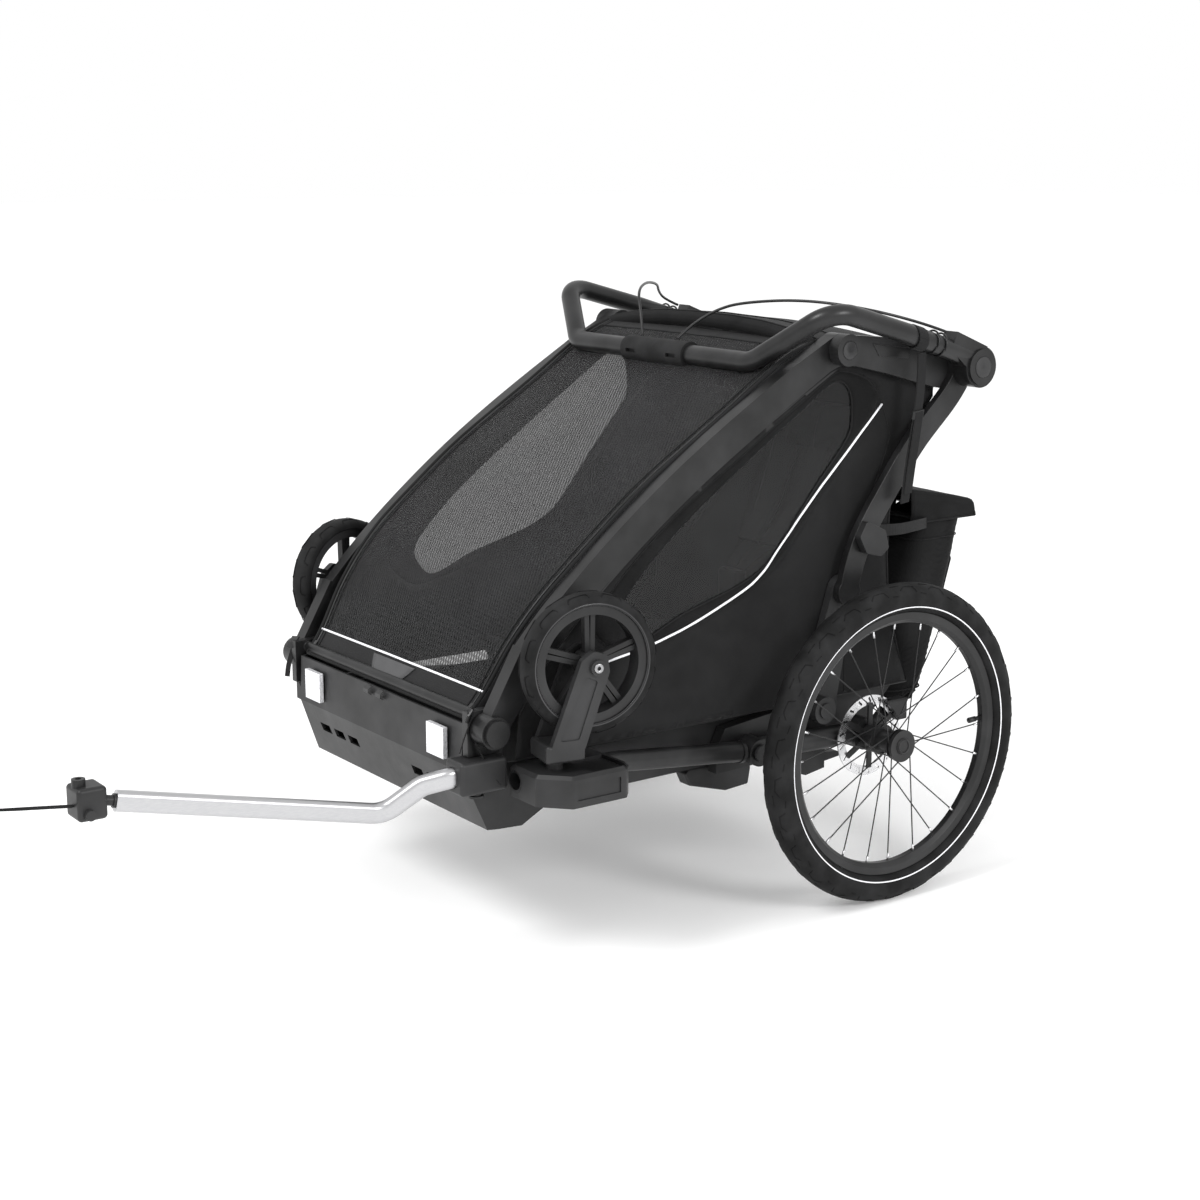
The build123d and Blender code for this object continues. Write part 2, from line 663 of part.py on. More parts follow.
def coupler():
    """Head that takes the ball on the neck and is pinned to the cycle's axle bracket."""
    end, along = hitch_end()
    centre = end + along * 34
    head = Pos(*(centre + Vector(0, -8, 0))) * Box(44, 40, 44)
    head = fillet(head.edges(), 6)
    head += Pos(centre.X, centre.Y - 18, centre.Z + 25) * Cylinder(9, 12)
    head += disc_x(centre.X + 21, centre.X + 29, (centre.Y - 14, centre.Z - 12), 7)
    head -= Pos(*centre) * Cylinder(11.3, 24)
    mouth = [(-8, 0), (8, 0), (19.5, 13), (-19.5, 13)]
    head -= extrude(make_face(Polyline([(centre.X + x, centre.Y + y, centre.Z - 12) for x, y in mouth],
                                       close=True).edges()), 22)
    head -= Pos(centre.X, centre.Y - 18, centre.Z) * Cylinder(PIN_BORE_R, 90)
    print("coupler ball", centre, "axis", along)
    return head


# ---- cords ----------------------------------------------------------------------------------------------

WRIST_ROUTE = [(335, 76, 838), (335, 77, 794), (335, 72, 750), (335, 63, 704), (335, 56, 658), (335, 50, 612)]
SAFETY_ROUTE = [(166, -1221, 325), (166, -1257, 330), (166, -1295, 335), (168, -1322, 339), (176, -1344, 342),
                (176, -1366, 344), (162, -1378, 344), (148, -1366, 342), (148, -1344, 340), (156, -1322, 336),
                (158, -1295, 332), (158, -1257, 327), (158, -1221, 322)]


def corner_radii(route):
    """Each corner's radius: 0.45 of its shorter run over the tangent of half the turn."""
    radii = []
    for a, b, c in zip(route, route[1:], route[2:]):
        before, after = Vector(*b) - Vector(*a), Vector(*c) - Vector(*b)
        turn = radians(before.get_angle(after))
        radii.append(0.45 * min(before.length, after.length) / tan(turn / 2))
    return radii


def cord(name, route, diameter):
    radii = corner_radii(route)
    path = FilletPolyline(*route, radius=radii)
    solid = sweep(Plane(path @ 0, z_dir=path % 0) * Circle(diameter / 2), path=path)
    expected = pi * diameter ** 2 / 4 * path.length
    print(name, "length", round(path.length, 1), "volume ratio", round(solid.volume / expected, 4),
          "bend radii", [round(r) for r in radii])
    return solid


def wrist_strap():
    """Flat webbing loop that hangs from the left arm of the handlebar."""
    path = FilletPolyline(*WRIST_ROUTE, radius=corner_radii(WRIST_ROUTE))
    start = Plane(path @ 0, x_dir=(1, 0, 0), z_dir=path % 0)
    print("wrist_strap length", round(path.length, 1), "bend radii", [round(r) for r in corner_radii(WRIST_ROUTE)])
    return sweep(start * Rectangle(3.0, 18.0), path=path)


BRAKE_NEAR = [(45, -166, 851.6), (47, -140, 872), (75, -112, 896), (112, -92, 908), (200, -52, 916), (290, -10, 908),
              (330, 78, 884), (333, 126, 868)]
BRAKE_FAR = [(-45, -166, 851.6), (-58, -160, 885), (-80, -150, 918), (-125, -100, 928), (-200, -20, 918),
             (-290, 50, 898), (-331, 94, 880), (-333, 126, 868)]


def brake_cables():
    cables = [tube(route, [12] + [22] * (len(route) - 3), 2.2) for route in (BRAKE_NEAR, BRAKE_FAR)]
    return Compound(children=[c.solids()[0] for c in cables])


# ---- write every piece ----------------------------------------------------------------------------------

def clear_of(solid, *others):
    for other in others:
        solid -= other
    return solid


parts = {}
one_side = {
    "tyre": tyre, "rim": rim, "spokes": spoke_set, "hub": hub, "rotor": rotor, "axle_button": axle_button,
    "suspension_arm": suspension_arm, "brake_caliper": brake_caliper, "wheel_socket": wheel_socket,
    "stroller_stem": caster_stem, "stroller_fork": caster_fork, "stroller_rim": caster_rim,
    "stroller_tyre": caster_tyre, "side_panel": side_panel,
}
for name, make in one_side.items():
    left = make()
    parts[name + "_left"] = left
    parts[name + "_right"] = flip(left)

both_sides = {
    "side_tubes": side_tube, "strut_brackets": strut_bracket, "support_feet": support_foot,
    "front_reflectors": front_reflector, "side_windows": side_window, "rear_struts": rear_strut,
    "fold_latches": fold_latch,
}
for name, make in both_sides.items():
    parts[name] = pair(make())

single = {
    "axle_beam": axle_beam, "tub": tub, "bumper_frame": bumper_frame, "front_frame": front_frame,
    "top_frame": top_frame, "handlebar": handlebar, "brake_sleeve": brake_sleeve, "front_cover": front_cover,
    "roof": roof, "rear_panel": rear_panel, "seat": seat,
    "harness_straps": harness_straps, "harness_buckles": harness_buckles, "cargo_bag": cargo_bag,
    "bag_lid": bag_lid, "brake_pedal": brake_pedal, "hitch_arm": hitch_arm,
    "hitch_socket": hitch_socket, "hitch_release": hitch_release, "coupler_neck": coupler_neck,
    "coupler": coupler, "wrist_strap": wrist_strap, "brake_cables": brake_cables,
}
for name, make in single.items():
    parts[name] = make()
parts["safety_strap"] = cord("safety_strap", SAFETY_ROUTE, 4.0)
socket_block = box((240, 284), (-716, -640), (270, 318))
parts["tub"] = clear_of(parts["tub"], parts["bumper_frame"], socket_block)

os.makedirs("parts", exist_ok=True)
for name, solid in parts.items():
    export_step(Pos(0, FRAME_Y, 0) * solid, f"parts/{name}.step")
print(len(parts), "parts")
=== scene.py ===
import json
from math import cos, exp, hypot, pi, radians, sin

import bpy
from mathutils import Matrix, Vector, noise
from mathutils.geometry import delaunay_2d_cdt


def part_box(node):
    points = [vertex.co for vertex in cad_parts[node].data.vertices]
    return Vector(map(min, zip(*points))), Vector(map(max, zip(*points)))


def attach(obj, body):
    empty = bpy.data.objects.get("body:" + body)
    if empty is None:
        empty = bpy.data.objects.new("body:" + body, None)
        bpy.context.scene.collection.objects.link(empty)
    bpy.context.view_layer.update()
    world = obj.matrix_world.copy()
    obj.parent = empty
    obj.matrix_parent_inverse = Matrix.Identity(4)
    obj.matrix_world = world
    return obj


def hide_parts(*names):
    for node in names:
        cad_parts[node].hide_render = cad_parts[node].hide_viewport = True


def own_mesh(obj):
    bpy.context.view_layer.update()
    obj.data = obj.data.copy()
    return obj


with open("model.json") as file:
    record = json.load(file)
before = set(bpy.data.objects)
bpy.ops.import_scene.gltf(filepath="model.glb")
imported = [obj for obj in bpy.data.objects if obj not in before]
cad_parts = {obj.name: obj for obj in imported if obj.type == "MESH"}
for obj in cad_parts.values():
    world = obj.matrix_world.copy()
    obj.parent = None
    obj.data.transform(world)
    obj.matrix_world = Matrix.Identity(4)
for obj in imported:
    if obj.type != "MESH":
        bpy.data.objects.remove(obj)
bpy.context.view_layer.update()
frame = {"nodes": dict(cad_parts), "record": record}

SIDES = (("left", 1), ("right", -1))
ACROSS = Vector((1, 0, 0))
TYRE_LOW, TYRE_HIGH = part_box("tyre_left")
FRAME_Y = (TYRE_LOW.y + TYRE_HIGH.y) / 2      # how far the main axle lies behind the row's origin, in metres


def at(x, y, z):
    """A point in the row frame, given in millimetres from the floor below the main axle's middle."""
    return Vector((x / 1000, y / 1000 + FRAME_Y, z / 1000))


# ---- camera, light and floor ----------------------------------------------------------------------------

def camera():
    azimuth, elevation = radians(54.48), radians(12.43)
    back = Vector((sin(azimuth) * cos(elevation), -cos(azimuth) * cos(elevation), sin(elevation)))
    data = bpy.data.cameras.new("camera")
    data.lens, data.sensor_width = 61.6, 36.0
    obj = bpy.data.objects.new("camera", data)
    obj.location = at(2580.3, -2123.3, 1141.3)
    obj.rotation_euler = (-back).to_track_quat("-Z", "Y").to_euler()
    bpy.context.collection.objects.link(obj)
    bpy.context.scene.camera = obj


def area_light(name, place, target, size, power):
    data = bpy.data.lights.new(name, "AREA")
    data.shape, data.size, data.energy = "DISK", size, power
    obj = bpy.data.objects.new(name, data)
    obj.location = place
    obj.rotation_euler = (Vector(target) - Vector(place)).to_track_quat("-Z", "Y").to_euler()
    bpy.context.collection.objects.link(obj)


def studio():
    world = bpy.data.worlds.new("studio")
    world.use_nodes = True
    background = world.node_tree.nodes["Background"].inputs
    background["Color"].default_value = (1, 1, 1, 1)
    background["Strength"].default_value = 1.0
    bpy.context.scene.world = world
    area_light("key", (0.5, -3.0, 3.8), (0, -0.1, 0.5), 1.6, 110)
    area_light("side", (4.2, 0.6, 2.6), (0, 0.2, 0.5), 1.4, 80)
    bpy.ops.mesh.primitive_plane_add(size=80, location=(0, 0, 0))
    floor = bpy.context.object
    floor.name = "floor"
    surface = bpy.data.materials.new("floor")
    surface.use_nodes = True
    shader = surface.node_tree.nodes["Principled BSDF"].inputs
    shader["Base Color"].default_value = (0.9, 0.9, 0.9, 1)
    shader["Roughness"].default_value = 0.95
    shader["Specular IOR Level"].default_value = 0.1
    shader["Emission Color"].default_value = (1, 1, 1, 1)
    shader["Emission Strength"].default_value = 0.14
    floor.data.materials.append(surface)
    view = bpy.context.scene.view_settings
    view.view_transform = "Standard"
    view.exposure = 0.0


# ---- materials ------------------------------------------------------------------------------------------

class Maker:
    """Short calls for building a material's nodes on object coordinates."""

    def __init__(self, name):
        self.material = bpy.data.materials.new(name)
        self.material.use_nodes = True
        self.tree = self.material.node_tree
        self.shader = self.tree.nodes["Principled BSDF"]
        self.place = self.tree.nodes.new("ShaderNodeTexCoord").outputs["Object"]

    def node(self, kind, settings=None, **inputs):
        made = self.tree.nodes.new("ShaderNode" + kind)
        for key, value in (settings or {}).items():
            setattr(made, key, value)
        for key, value in inputs.items():
            self.put(made.inputs[key.replace("_", " ")], value)
        return made

    def put(self, socket, value):
        if isinstance(value, bpy.types.NodeSocket):
            self.tree.links.new(value, socket)
        else:
            socket.default_value = value

    def set(self, **inputs):
        for key, value in inputs.items():
            self.put(self.shader.inputs[key.replace("_", " ")], value)

    def scaled(self, x, y, z, turn=(0, 0, 0)):
        mapping = self.node("Mapping", Vector=self.place)
        mapping.inputs["Scale"].default_value = (x, y, z)
        mapping.inputs["Rotation"].default_value = turn
        return mapping.outputs["Vector"]

    def noise(self, scale, detail=4.0, rough=0.5, vector=None):
        made = self.node("TexNoise", Vector=vector or self.place, Scale=scale, Detail=detail, Roughness=rough)
        return made.outputs["Fac"]

    def ramp(self, value, low, high, a=0.35, b=0.65):
        made = self.node("ValToRGB", Fac=value)
        made.color_ramp.elements[0].position, made.color_ramp.elements[1].position = a, b
        made.color_ramp.elements[0].color = (*low, 1) if len(low) == 3 else low
        made.color_ramp.elements[1].color = (*high, 1) if len(high) == 3 else high
        return made.outputs["Color"]

    def span(self, value, low, high):
        made = self.node("MapRange", Value=value)
        made.inputs["To Min"].default_value, made.inputs["To Max"].default_value = low, high
        return made.outputs["Result"]

    def math(self, operation, a, b):
        made = self.tree.nodes.new("ShaderNodeMath")
        made.operation = operation
        self.put(made.inputs[0], a)
        self.put(made.inputs[1], b)
        return made.outputs[0]

    def bump(self, height, distance, strength=1.0):
        made = self.node("Bump", Height=height, Distance=distance, Strength=strength)
        self.set(Normal=made.outputs["Normal"])
        return self


def grey(level):
    return (level, level, level * 1.03)


def plastic(name, level, rough, grain=0.00006, grain_scale=900.0, worn=0.02):
    """Moulded plastic: fine spark-eroded grain, faint mottling and slightly paler worn patches."""
    m = Maker(name)
    cloud = m.noise(9.0, 5.0)
    m.set(Base_Color=m.ramp(cloud, grey(level), grey(level + worn), 0.4, 0.75))
    m.set(Roughness=m.span(m.noise(40.0, 3.0), rough - 0.06, rough + 0.08), Specular_IOR_Level=0.35)
    m.bump(m.noise(grain_scale, 2.0), grain)
    return m.material


def painted(name, level, rough):
    """Powder-coated tube: orange-peel bump and a satin shine."""
    m = Maker(name)
    m.set(Base_Color=m.ramp(m.noise(14.0, 4.0), grey(level), grey(level + 0.012), 0.4, 0.7))
    m.set(Roughness=m.span(m.noise(60.0, 3.0), rough - 0.04, rough + 0.06), Specular_IOR_Level=0.35)
    m.bump(m.noise(420.0, 2.0), 0.00005)
    return m.material


def metal(name, level, rough, along=(1, 1, 1), scale=160.0, tint=1.0):
    """Bare metal with fine drawn lines along one way and faint handling marks."""
    m = Maker(name)
    lines = m.noise(scale, 4.0, vector=m.scaled(*along))
    m.set(Base_Color=m.ramp(lines, grey(level * 0.9), (level, level, level * tint), 0.3, 0.7), Metallic=1.0)
    m.set(Roughness=m.span(m.noise(18.0, 4.0), rough - 0.05, rough + 0.08))
    m.bump(lines, 0.00002)
    return m.material


def weave_height(m, pitch):
    """Over-and-under height of a plain weave, the same from any side, with threads pitch metres apart."""
    waves = []
    for turn in ((0, 0, 0), (0, 0, pi / 2), (0, pi / 2, 0)):
        wave = m.node("TexWave", {"wave_type": "BANDS", "bands_direction": "X"},
                      Vector=m.scaled(1, 1, 1, turn), Scale=0.3183 / pitch, Distortion=0.6)
        wave.inputs["Detail Scale"].default_value = 30.0
        waves.append(wave.outputs["Fac"])
    return m.math("MULTIPLY", m.math("ADD", waves[0], waves[1]), m.math("ADD", waves[2], 0.5))


def cloth(name, level, pitch=0.0018, sheen=0.05, depth=0.00005, rough=0.85, spread=0.008):
    """Woven cloth with a thread bump, soft folds of shade and a little sheen."""
    m = Maker(name)
    threads = weave_height(m, pitch)
    shade = m.math("ADD", m.math("MULTIPLY", threads, 0.12), m.noise(7.0, 5.0))
    m.set(Base_Color=m.ramp(shade, grey(level), grey(level + spread), 0.4, 1.0))
    m.set(Roughness=m.span(m.noise(80.0, 3.0), rough - 0.06, rough + 0.05))
    m.set(Sheen_Weight=sheen, Sheen_Roughness=0.4, Specular_IOR_Level=0.2)
    m.bump(threads, depth)
    return m.material


def mesh_cloth(name, level, alpha_low, alpha_high, pitch=0.0034):
    """See-through knitted mesh: rows of small holes."""
    m = Maker(name)
    holes = []
    for turn in ((0, 0, radians(45)), (0, 0, radians(-45))):
        wave = m.node("TexWave", {"wave_type": "BANDS", "bands_direction": "X"},
                      Vector=m.scaled(1.0, 0.8, 0.8, turn), Scale=0.3183 / pitch, Distortion=0.2)
        holes.append(wave.outputs["Fac"])
    pattern = m.math("MULTIPLY", holes[0], holes[1])
    m.set(Base_Color=m.ramp(m.noise(12.0, 4.0), grey(level), grey(level + 0.01), 0.3, 0.8))
    m.set(Roughness=m.span(m.noise(60.0, 2.0), 0.6, 0.75), Sheen_Weight=0.05, Specular_IOR_Level=0.2)
    m.set(Alpha=m.span(pattern, alpha_high, alpha_low))
    m.bump(pattern, 0.0002)
    return m.material


def film(name, level, alpha, rough):
    """Flexible clear window film, tinted, with slow waves in its gloss."""
    m = Maker(name)
    m.set(Base_Color=m.ramp(m.noise(3.0, 2.0), grey(level), grey(level + 0.01)), Alpha=alpha)
    m.set(Roughness=m.span(m.noise(20.0, 3.0), rough, rough + 0.05), Specular_IOR_Level=0.5)
    m.bump(m.noise(7.0, 2.0), 0.001)
    return m.material


def rubber(name, level, rough=0.72):
    m = Maker(name)
    m.set(Base_Color=m.ramp(m.noise(26.0, 5.0), grey(level), grey(level + 0.012), 0.4, 0.75))
    m.set(Roughness=m.span(m.noise(90.0, 3.0), rough - 0.07, rough + 0.07), Specular_IOR_Level=0.18)
    m.bump(m.noise(500.0, 3.0), 0.00008)
    return m.material


def foam(name, level):
    m = Maker(name)
    cells = m.node("TexVoronoi", Vector=m.place, Scale=700.0).outputs["Distance"]
    m.set(Base_Color=m.ramp(m.noise(20.0, 4.0), grey(level), grey(level + 0.012)))
    m.set(Roughness=m.span(m.noise(70.0, 3.0), 0.7, 0.85), Specular_IOR_Level=0.25)
    m.bump(cells, 0.0002)
    return m.material


def reflective(name):
    """Silver-white reflective tape or piping, with a fine bead texture and a faint white emission: a painted
    glow standing in for the light the tape throws back.
    """
    m = Maker(name)
    m.set(Base_Color=m.ramp(m.noise(200.0, 3.0), grey(0.78), grey(0.92)), Metallic=0.0)
    m.set(Roughness=m.span(m.noise(300.0, 2.0), 0.3, 0.45))
    # painted glow: a faint white emission makes the tape and piping shine as if lit
    m.set(Emission_Color=(0.9, 0.9, 0.9, 1), Emission_Strength=0.08)
    m.bump(m.noise(900.0, 1.0), 0.00004)
    return m.material


def prism_lens(name):
    """Reflector lens: a fine grid of corner cubes under a clear face."""
    m = Maker(name)
    cells = m.node("TexVoronoi", Vector=m.place, Scale=260.0)
    m.set(Base_Color=m.ramp(cells.outputs["Distance"], grey(0.62), grey(0.9), 0.0, 0.6), Metallic=0.35)
    m.set(Roughness=m.span(cells.outputs["Distance"], 0.12, 0.3), Coat_Weight=0.6)
    m.bump(cells.outputs["Distance"], 0.0006)
    return m.material


LOOKS = {
    "frame_black": (painted, 0.006, 0.34),
    "moulded_black": (plastic, 0.009, 0.45),
    "arm_black": (painted, 0.008, 0.4),
    "spoke_black": (painted, 0.008, 0.3),
    "bright_steel": (metal, 0.72, 0.26, (1, 6, 1)),
    "silver_alloy": (metal, 0.5, 0.34, (6, 0.4, 6), 120.0, 1.01),
    "tyre_rubber": (rubber, 0.005),
    "foam_grip": (foam, 0.006),
    "shell_fabric": (cloth, 0.007),
    "mesh_fabric": (mesh_cloth, 0.013, 0.08, 0.8, 0.0044),
    "window_film": (film, 0.012, 0.42, 0.08),
    "seat_fabric": (cloth, 0.016, 0.0022, 0.05, 0.00002),
    "webbing": (cloth, 0.008, 0.0018, 0.05, 0.0001),
    "buckle_plastic": (plastic, 0.008, 0.3),
    "cable_black": (plastic, 0.006, 0.35),
    "reflector_lens": (prism_lens,),
    # piping_white carries a painted glow from its faint emission
    "piping_white": (reflective,),
    "patch_grey": (plastic, 0.06, 0.45),
    "cover_cloth": (cloth, 0.014),
    "zip_black": (plastic, 0.006, 0.3),
    "border_mesh": (cloth, 0.003, 0.0022, 0.03, 0.0001),
    "bag_cloth": (cloth, 0.004, 0.0018, 0.04, 0.0001),
    # darker, rougher ribbons for the tread cuts: painted shade of the grooves
    "groove_shade_black": (rubber, 0.003, 0.9),
    "ring_gloss": (plastic, 0.03, 0.22),
    "bolt_grey": (metal, 0.35, 0.35),
    "badge_black": (plastic, 0.004, 0.28),
    "knob_grey": (plastic, 0.022, 0.5),
}
PALETTE = {name: make(name, *values) for name, (make, *values) in LOOKS.items()}


# ---- mesh helpers ---------------------------------------------------------------------------------------


def piece(name, points, faces, look, body, smooth=True):
    mesh = bpy.data.meshes.new(name)
    mesh.from_pydata([tuple(p) for p in points], [], faces)
    mesh.validate()
    mesh.update()
    obj = bpy.data.objects.new(name, mesh)
    bpy.context.collection.objects.link(obj)
    mesh.materials.append(PALETTE[look])
    for polygon in mesh.polygons:
        polygon.use_smooth = smooth
    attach(obj, body)
    return obj


def spline_point(a, b, c, d, f):
    """The point at share f of the way from b to c on a Catmull-Rom curve through a, b, c and d."""
    return 0.5 * ((2 * b) + (c - a) * f + (2 * a - 5 * b + 4 * c - d) * f * f
                  + (3 * b - a - 3 * c + d) * f ** 3)


def smooth_line(points, count):
    """count points evenly spaced by knot along a Catmull-Rom curve through the given points."""
    points = [Vector(p) for p in points]
    padded = [points[0] * 2 - points[1]] + points + [points[-1] * 2 - points[-2]]
    made = []
    for i in range(count):
        t = i / (count - 1) * (len(points) - 1)
        k = min(int(t), len(points) - 2)
        f = t - k
        made.append(spline_point(*padded[k:k + 4], f))
    return made


def quads(rows, columns, wrap_rows=False, wrap_columns=False):
    faces = []
    for i in range(rows if wrap_rows else rows - 1):
        for j in range(columns if wrap_columns else columns - 1):
            a, b = i, (i + 1) % rows
            c, d = j, (j + 1) % columns
            faces.append((a * columns + c, a * columns + d, b * columns + d, b * columns + c))
    return faces


def solidify(obj, thickness, offset=-1.0):
    made = obj.modifiers.new("thickness", "SOLIDIFY")
    made.thickness, made.offset = thickness, offset
    return obj


def fold_down(parts):
    """Give each piece its own copy of its mesh."""
    for part in parts:
        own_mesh(part)


def bake(obj):
    """Apply an object's modifiers to its mesh."""
    graph = bpy.context.evaluated_depsgraph_get()
    mesh = bpy.data.meshes.new_from_object(obj.evaluated_get(graph))
    obj.modifiers.clear()
    obj.data = mesh
    return obj


def tube(name, line, radius, look, body, sides=10, closed=False):
    """A round tube along a line."""
    points, faces = [], []
    count = len(line)
    for i, p in enumerate(line):
        after = line[(i + 1) % count] if closed or i < count - 1 else p
        before = line[i - 1] if closed or i else p
        ahead = (after - before).normalized()
        upward = Vector((0, 0, 1)) if abs(ahead.z) < 0.9 else Vector((1, 0, 0))
        side = ahead.cross(upward).normalized()
        lift = side.cross(ahead).normalized()
        for k in range(sides):
            turn = 2 * pi * k / sides
            points.append(p + side * (radius * cos(turn)) + lift * (radius * sin(turn)))
    faces = quads(count, sides, wrap_rows=closed, wrap_columns=True)
    if not closed:
        faces += [tuple(range(sides))[::-1], tuple(range((count - 1) * sides, count * sides))]
    return piece(name, points, faces, look, body)


def strip(name, line, width, thick, look, body, across):
    """Flat webbing along a line, with its width lying along across."""
    points = []
    side = Vector(across).normalized()
    for i, p in enumerate(line):
        ahead = (line[min(i + 1, len(line) - 1)] - line[max(i - 1, 0)]).normalized()
        out = side.cross(ahead).normalized()
        w, t = side * width / 2, out * thick / 2
        edge = side * (width / 2 - thick * 0.3)
        points += [p - edge + t, p + edge + t, p + w, p + edge - t, p - edge - t, p - w]
    faces = quads(len(line), 6, wrap_columns=True)
    faces += [tuple(range(6))[::-1], tuple(range(len(points) - 6, len(points)))]
    return piece(name, points, faces, look, body, smooth=False)


def lathe(name, profile, centre, axis, look, body, steps=96, shape=None):
    """Turn a closed profile of (along axis, radius) about an axis; shape may move each point."""
    axis = Vector(axis).normalized()
    first = axis.cross(Vector((0, 0, 1))).normalized()
    second = axis.cross(first)
    points = []
    for i in range(steps):
        angle = 2 * pi * i / steps
        for j, (along, radius) in enumerate(profile):
            if shape:
                along, radius = shape(angle, along, radius)
            points.append(centre + axis * along + (first * cos(angle) + second * sin(angle)) * radius)
    return piece(name, points, quads(steps, len(profile), True, True), look, body)


def divided(a, b, spacing):
    """Points from a up to b, without b itself, about spacing apart."""
    steps = max(1, int(hypot(b[0] - a[0], b[1] - a[1]) / spacing))
    return [(a[0] + (b[0] - a[0]) * k / steps, a[1] + (b[1] - a[1]) * k / steps) for k in range(steps)]


def flat_fill(name, outline, holes, place, look, body, spacing=16.0):
    """Fill a (y, z) outline, less its holes, with a net of triangles, and put each point with place(y, z)."""
    loops = [outline] + holes
    points, edges = [], []
    for loop in loops:
        start = len(points)
        dense = []
        for a, b in zip(loop, loop[1:] + loop[:1]):
            dense += divided(a, b, spacing)
        points += dense
        edges += [(start + k, start + (k + 1) % len(dense)) for k in range(len(dense))]

    def inside(y, z, loop):
        hit = False
        for (y0, z0), (y1, z1) in zip(loop, loop[1:] + loop[:1]):
            if (z0 > z) != (z1 > z) and y < (y1 - y0) * (z - z0) / (z1 - z0) + y0:
                hit = not hit
        return hit

    def kept(y, z):
        return inside(y, z, outline) and not any(inside(y, z, hole) for hole in holes)

    low_y, high_y = min(p[0] for p in outline), max(p[0] for p in outline)
    low_z, high_z = min(p[1] for p in outline), max(p[1] for p in outline)
    border = list(points)
    y = low_y
    while y < high_y:
        z = low_z
        while z < high_z:
            if kept(y, z) and min(hypot(y - b[0], z - b[1]) for b in border) > spacing * 0.55:
                points.append((y, z))
            z += spacing
        y += spacing
    made = delaunay_2d_cdt([Vector(p) for p in points], edges, [], 0, 1e-4)
    flat, triangles = made[0], made[2]
    faces = []
    for face in triangles:
        middle = sum((flat[k] for k in face), Vector((0, 0))) / len(face)
        if kept(middle.x, middle.y):
            faces.append(tuple(face))
    return piece(name, [place(p.x, p.y) for p in flat], faces, look, body)


# ---- rounded edges on the rigid nodes -------------------------------------------------------------------

def dress_cad_nodes():
    """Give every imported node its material, and round the edges of the rigid ones (widths in millimetres)."""
    slots = {s["node"]: s["material_slot"] for s in frame["record"]["subparts"]}
    widths = {
        "front_frame": 7.5, "top_frame": 6.5, "rear_struts": 3.0, "tub": 2.5, "strut_brackets": 3.0,
        "support_feet": 3.0, "wheel_socket_left": 2.0, "wheel_socket_right": 2.0, "fold_latches": 2.0,
        "hitch_socket": 1.5, "stroller_fork_left": 1.6, "stroller_fork_right": 1.6,
        "suspension_arm_left": 2.0, "suspension_arm_right": 2.0, "brake_caliper_left": 1.2,
        "brake_caliper_right": 1.2, "handlebar": 2.0, "stroller_rim_left": 1.2, "stroller_rim_right": 1.2,
        "brake_pedal": 1.5, "coupler": 1.2, "hub_left": 1.2, "hub_right": 1.2, "rim_left": 1.0,
        "rim_right": 1.0, "brake_sleeve": 1.6, "axle_button_left": 1.4, "axle_button_right": 1.4,
        "bumper_frame": 2.0, "harness_buckles": 2.0, "front_reflectors": 1.0,
    }
    for name, obj in frame["nodes"].items():
        obj.data.materials.clear()
        obj.data.materials.append(PALETTE[slots[name]])
        if name in widths:
            weld = obj.modifiers.new("weld", "WELD")
            weld.merge_threshold = 0.00001
            flat = obj.modifiers.new("flat", "DECIMATE")
            flat.decimate_type, flat.angle_limit = "DISSOLVE", radians(0.6)
            bevel = obj.modifiers.new("edges", "BEVEL")
            bevel.width, bevel.segments = widths[name] / 1000, 4
            bevel.limit_method, bevel.angle_limit = "ANGLE", radians(32)
            bevel.harden_normals = False
            smooth = obj.modifiers.new("shade", "WEIGHTED_NORMAL")
            smooth.keep_sharp = True


# ---- front cover ----------------------------------------------------------------------------------------

COVER_LINE = [(-70, 858), (-134, 831), (-240, 762), (-373, 678), (-460, 612), (-546, 539), (-604, 472),
              (-648, 401), (-676, 366)]
PIPING_Z = 401.0
COVER_HALF = 264.5


def cover_half(z):
    """Half the cover's width at a height: full between the pillars, narrower towards the bumper."""
    return COVER_HALF if z > 560 else 243 + (z - PIPING_Z) * (COVER_HALF - 243) / (560 - PIPING_Z)


def cover_point(along, across, lift=0.0):
    """A point of the taut cover: along 0 at the top and 1 at the bumper, across from -1 to 1."""
    line = cover_point.line
    k = along * (len(line) - 1)
    i = min(int(k), len(line) - 2)
    p = line[i].lerp(line[i + 1], k - i)
    ahead = (line[i + 1] - line[i]).normalized()
    out = Vector((0, ahead.z, -ahead.y))
    if out.z < 0:
        out = -out
    crown = 9.0 * (1 - across * across) * sin(pi * min(1.0, along * 1.05)) ** 0.7
    ripple = 1.1 * noise.noise(Vector((across * 5.0, along * 4.0, 2.0)))
    p = p + out * (crown + ripple * (1 - across * across) + lift)
    return at(across * cover_half(p.z), p.y, p.z)


cover_point.line = smooth_line([(0, y, z) for y, z in COVER_LINE], 90)
PIPING_AT = min(range(90), key=lambda i: abs(cover_point.line[i].z - PIPING_Z)) / 89


def cover_sheet(name, first, last, look, lift=0.0, rows=70, inner=1.0):
    points = [cover_point(first + (last - first) * i / (rows - 1), inner * (j / 20 - 1), lift)
              for i in range(rows) for j in range(41)]
    return solidify(piece(name, points, quads(rows, 41), look, "front_frame"), 0.0012, 0.0)


def cover_width_line(along, lift, count=41, reach=0.99):
    return [cover_point(along, reach * (2 * j / (count - 1) - 1), lift) for j in range(count)]


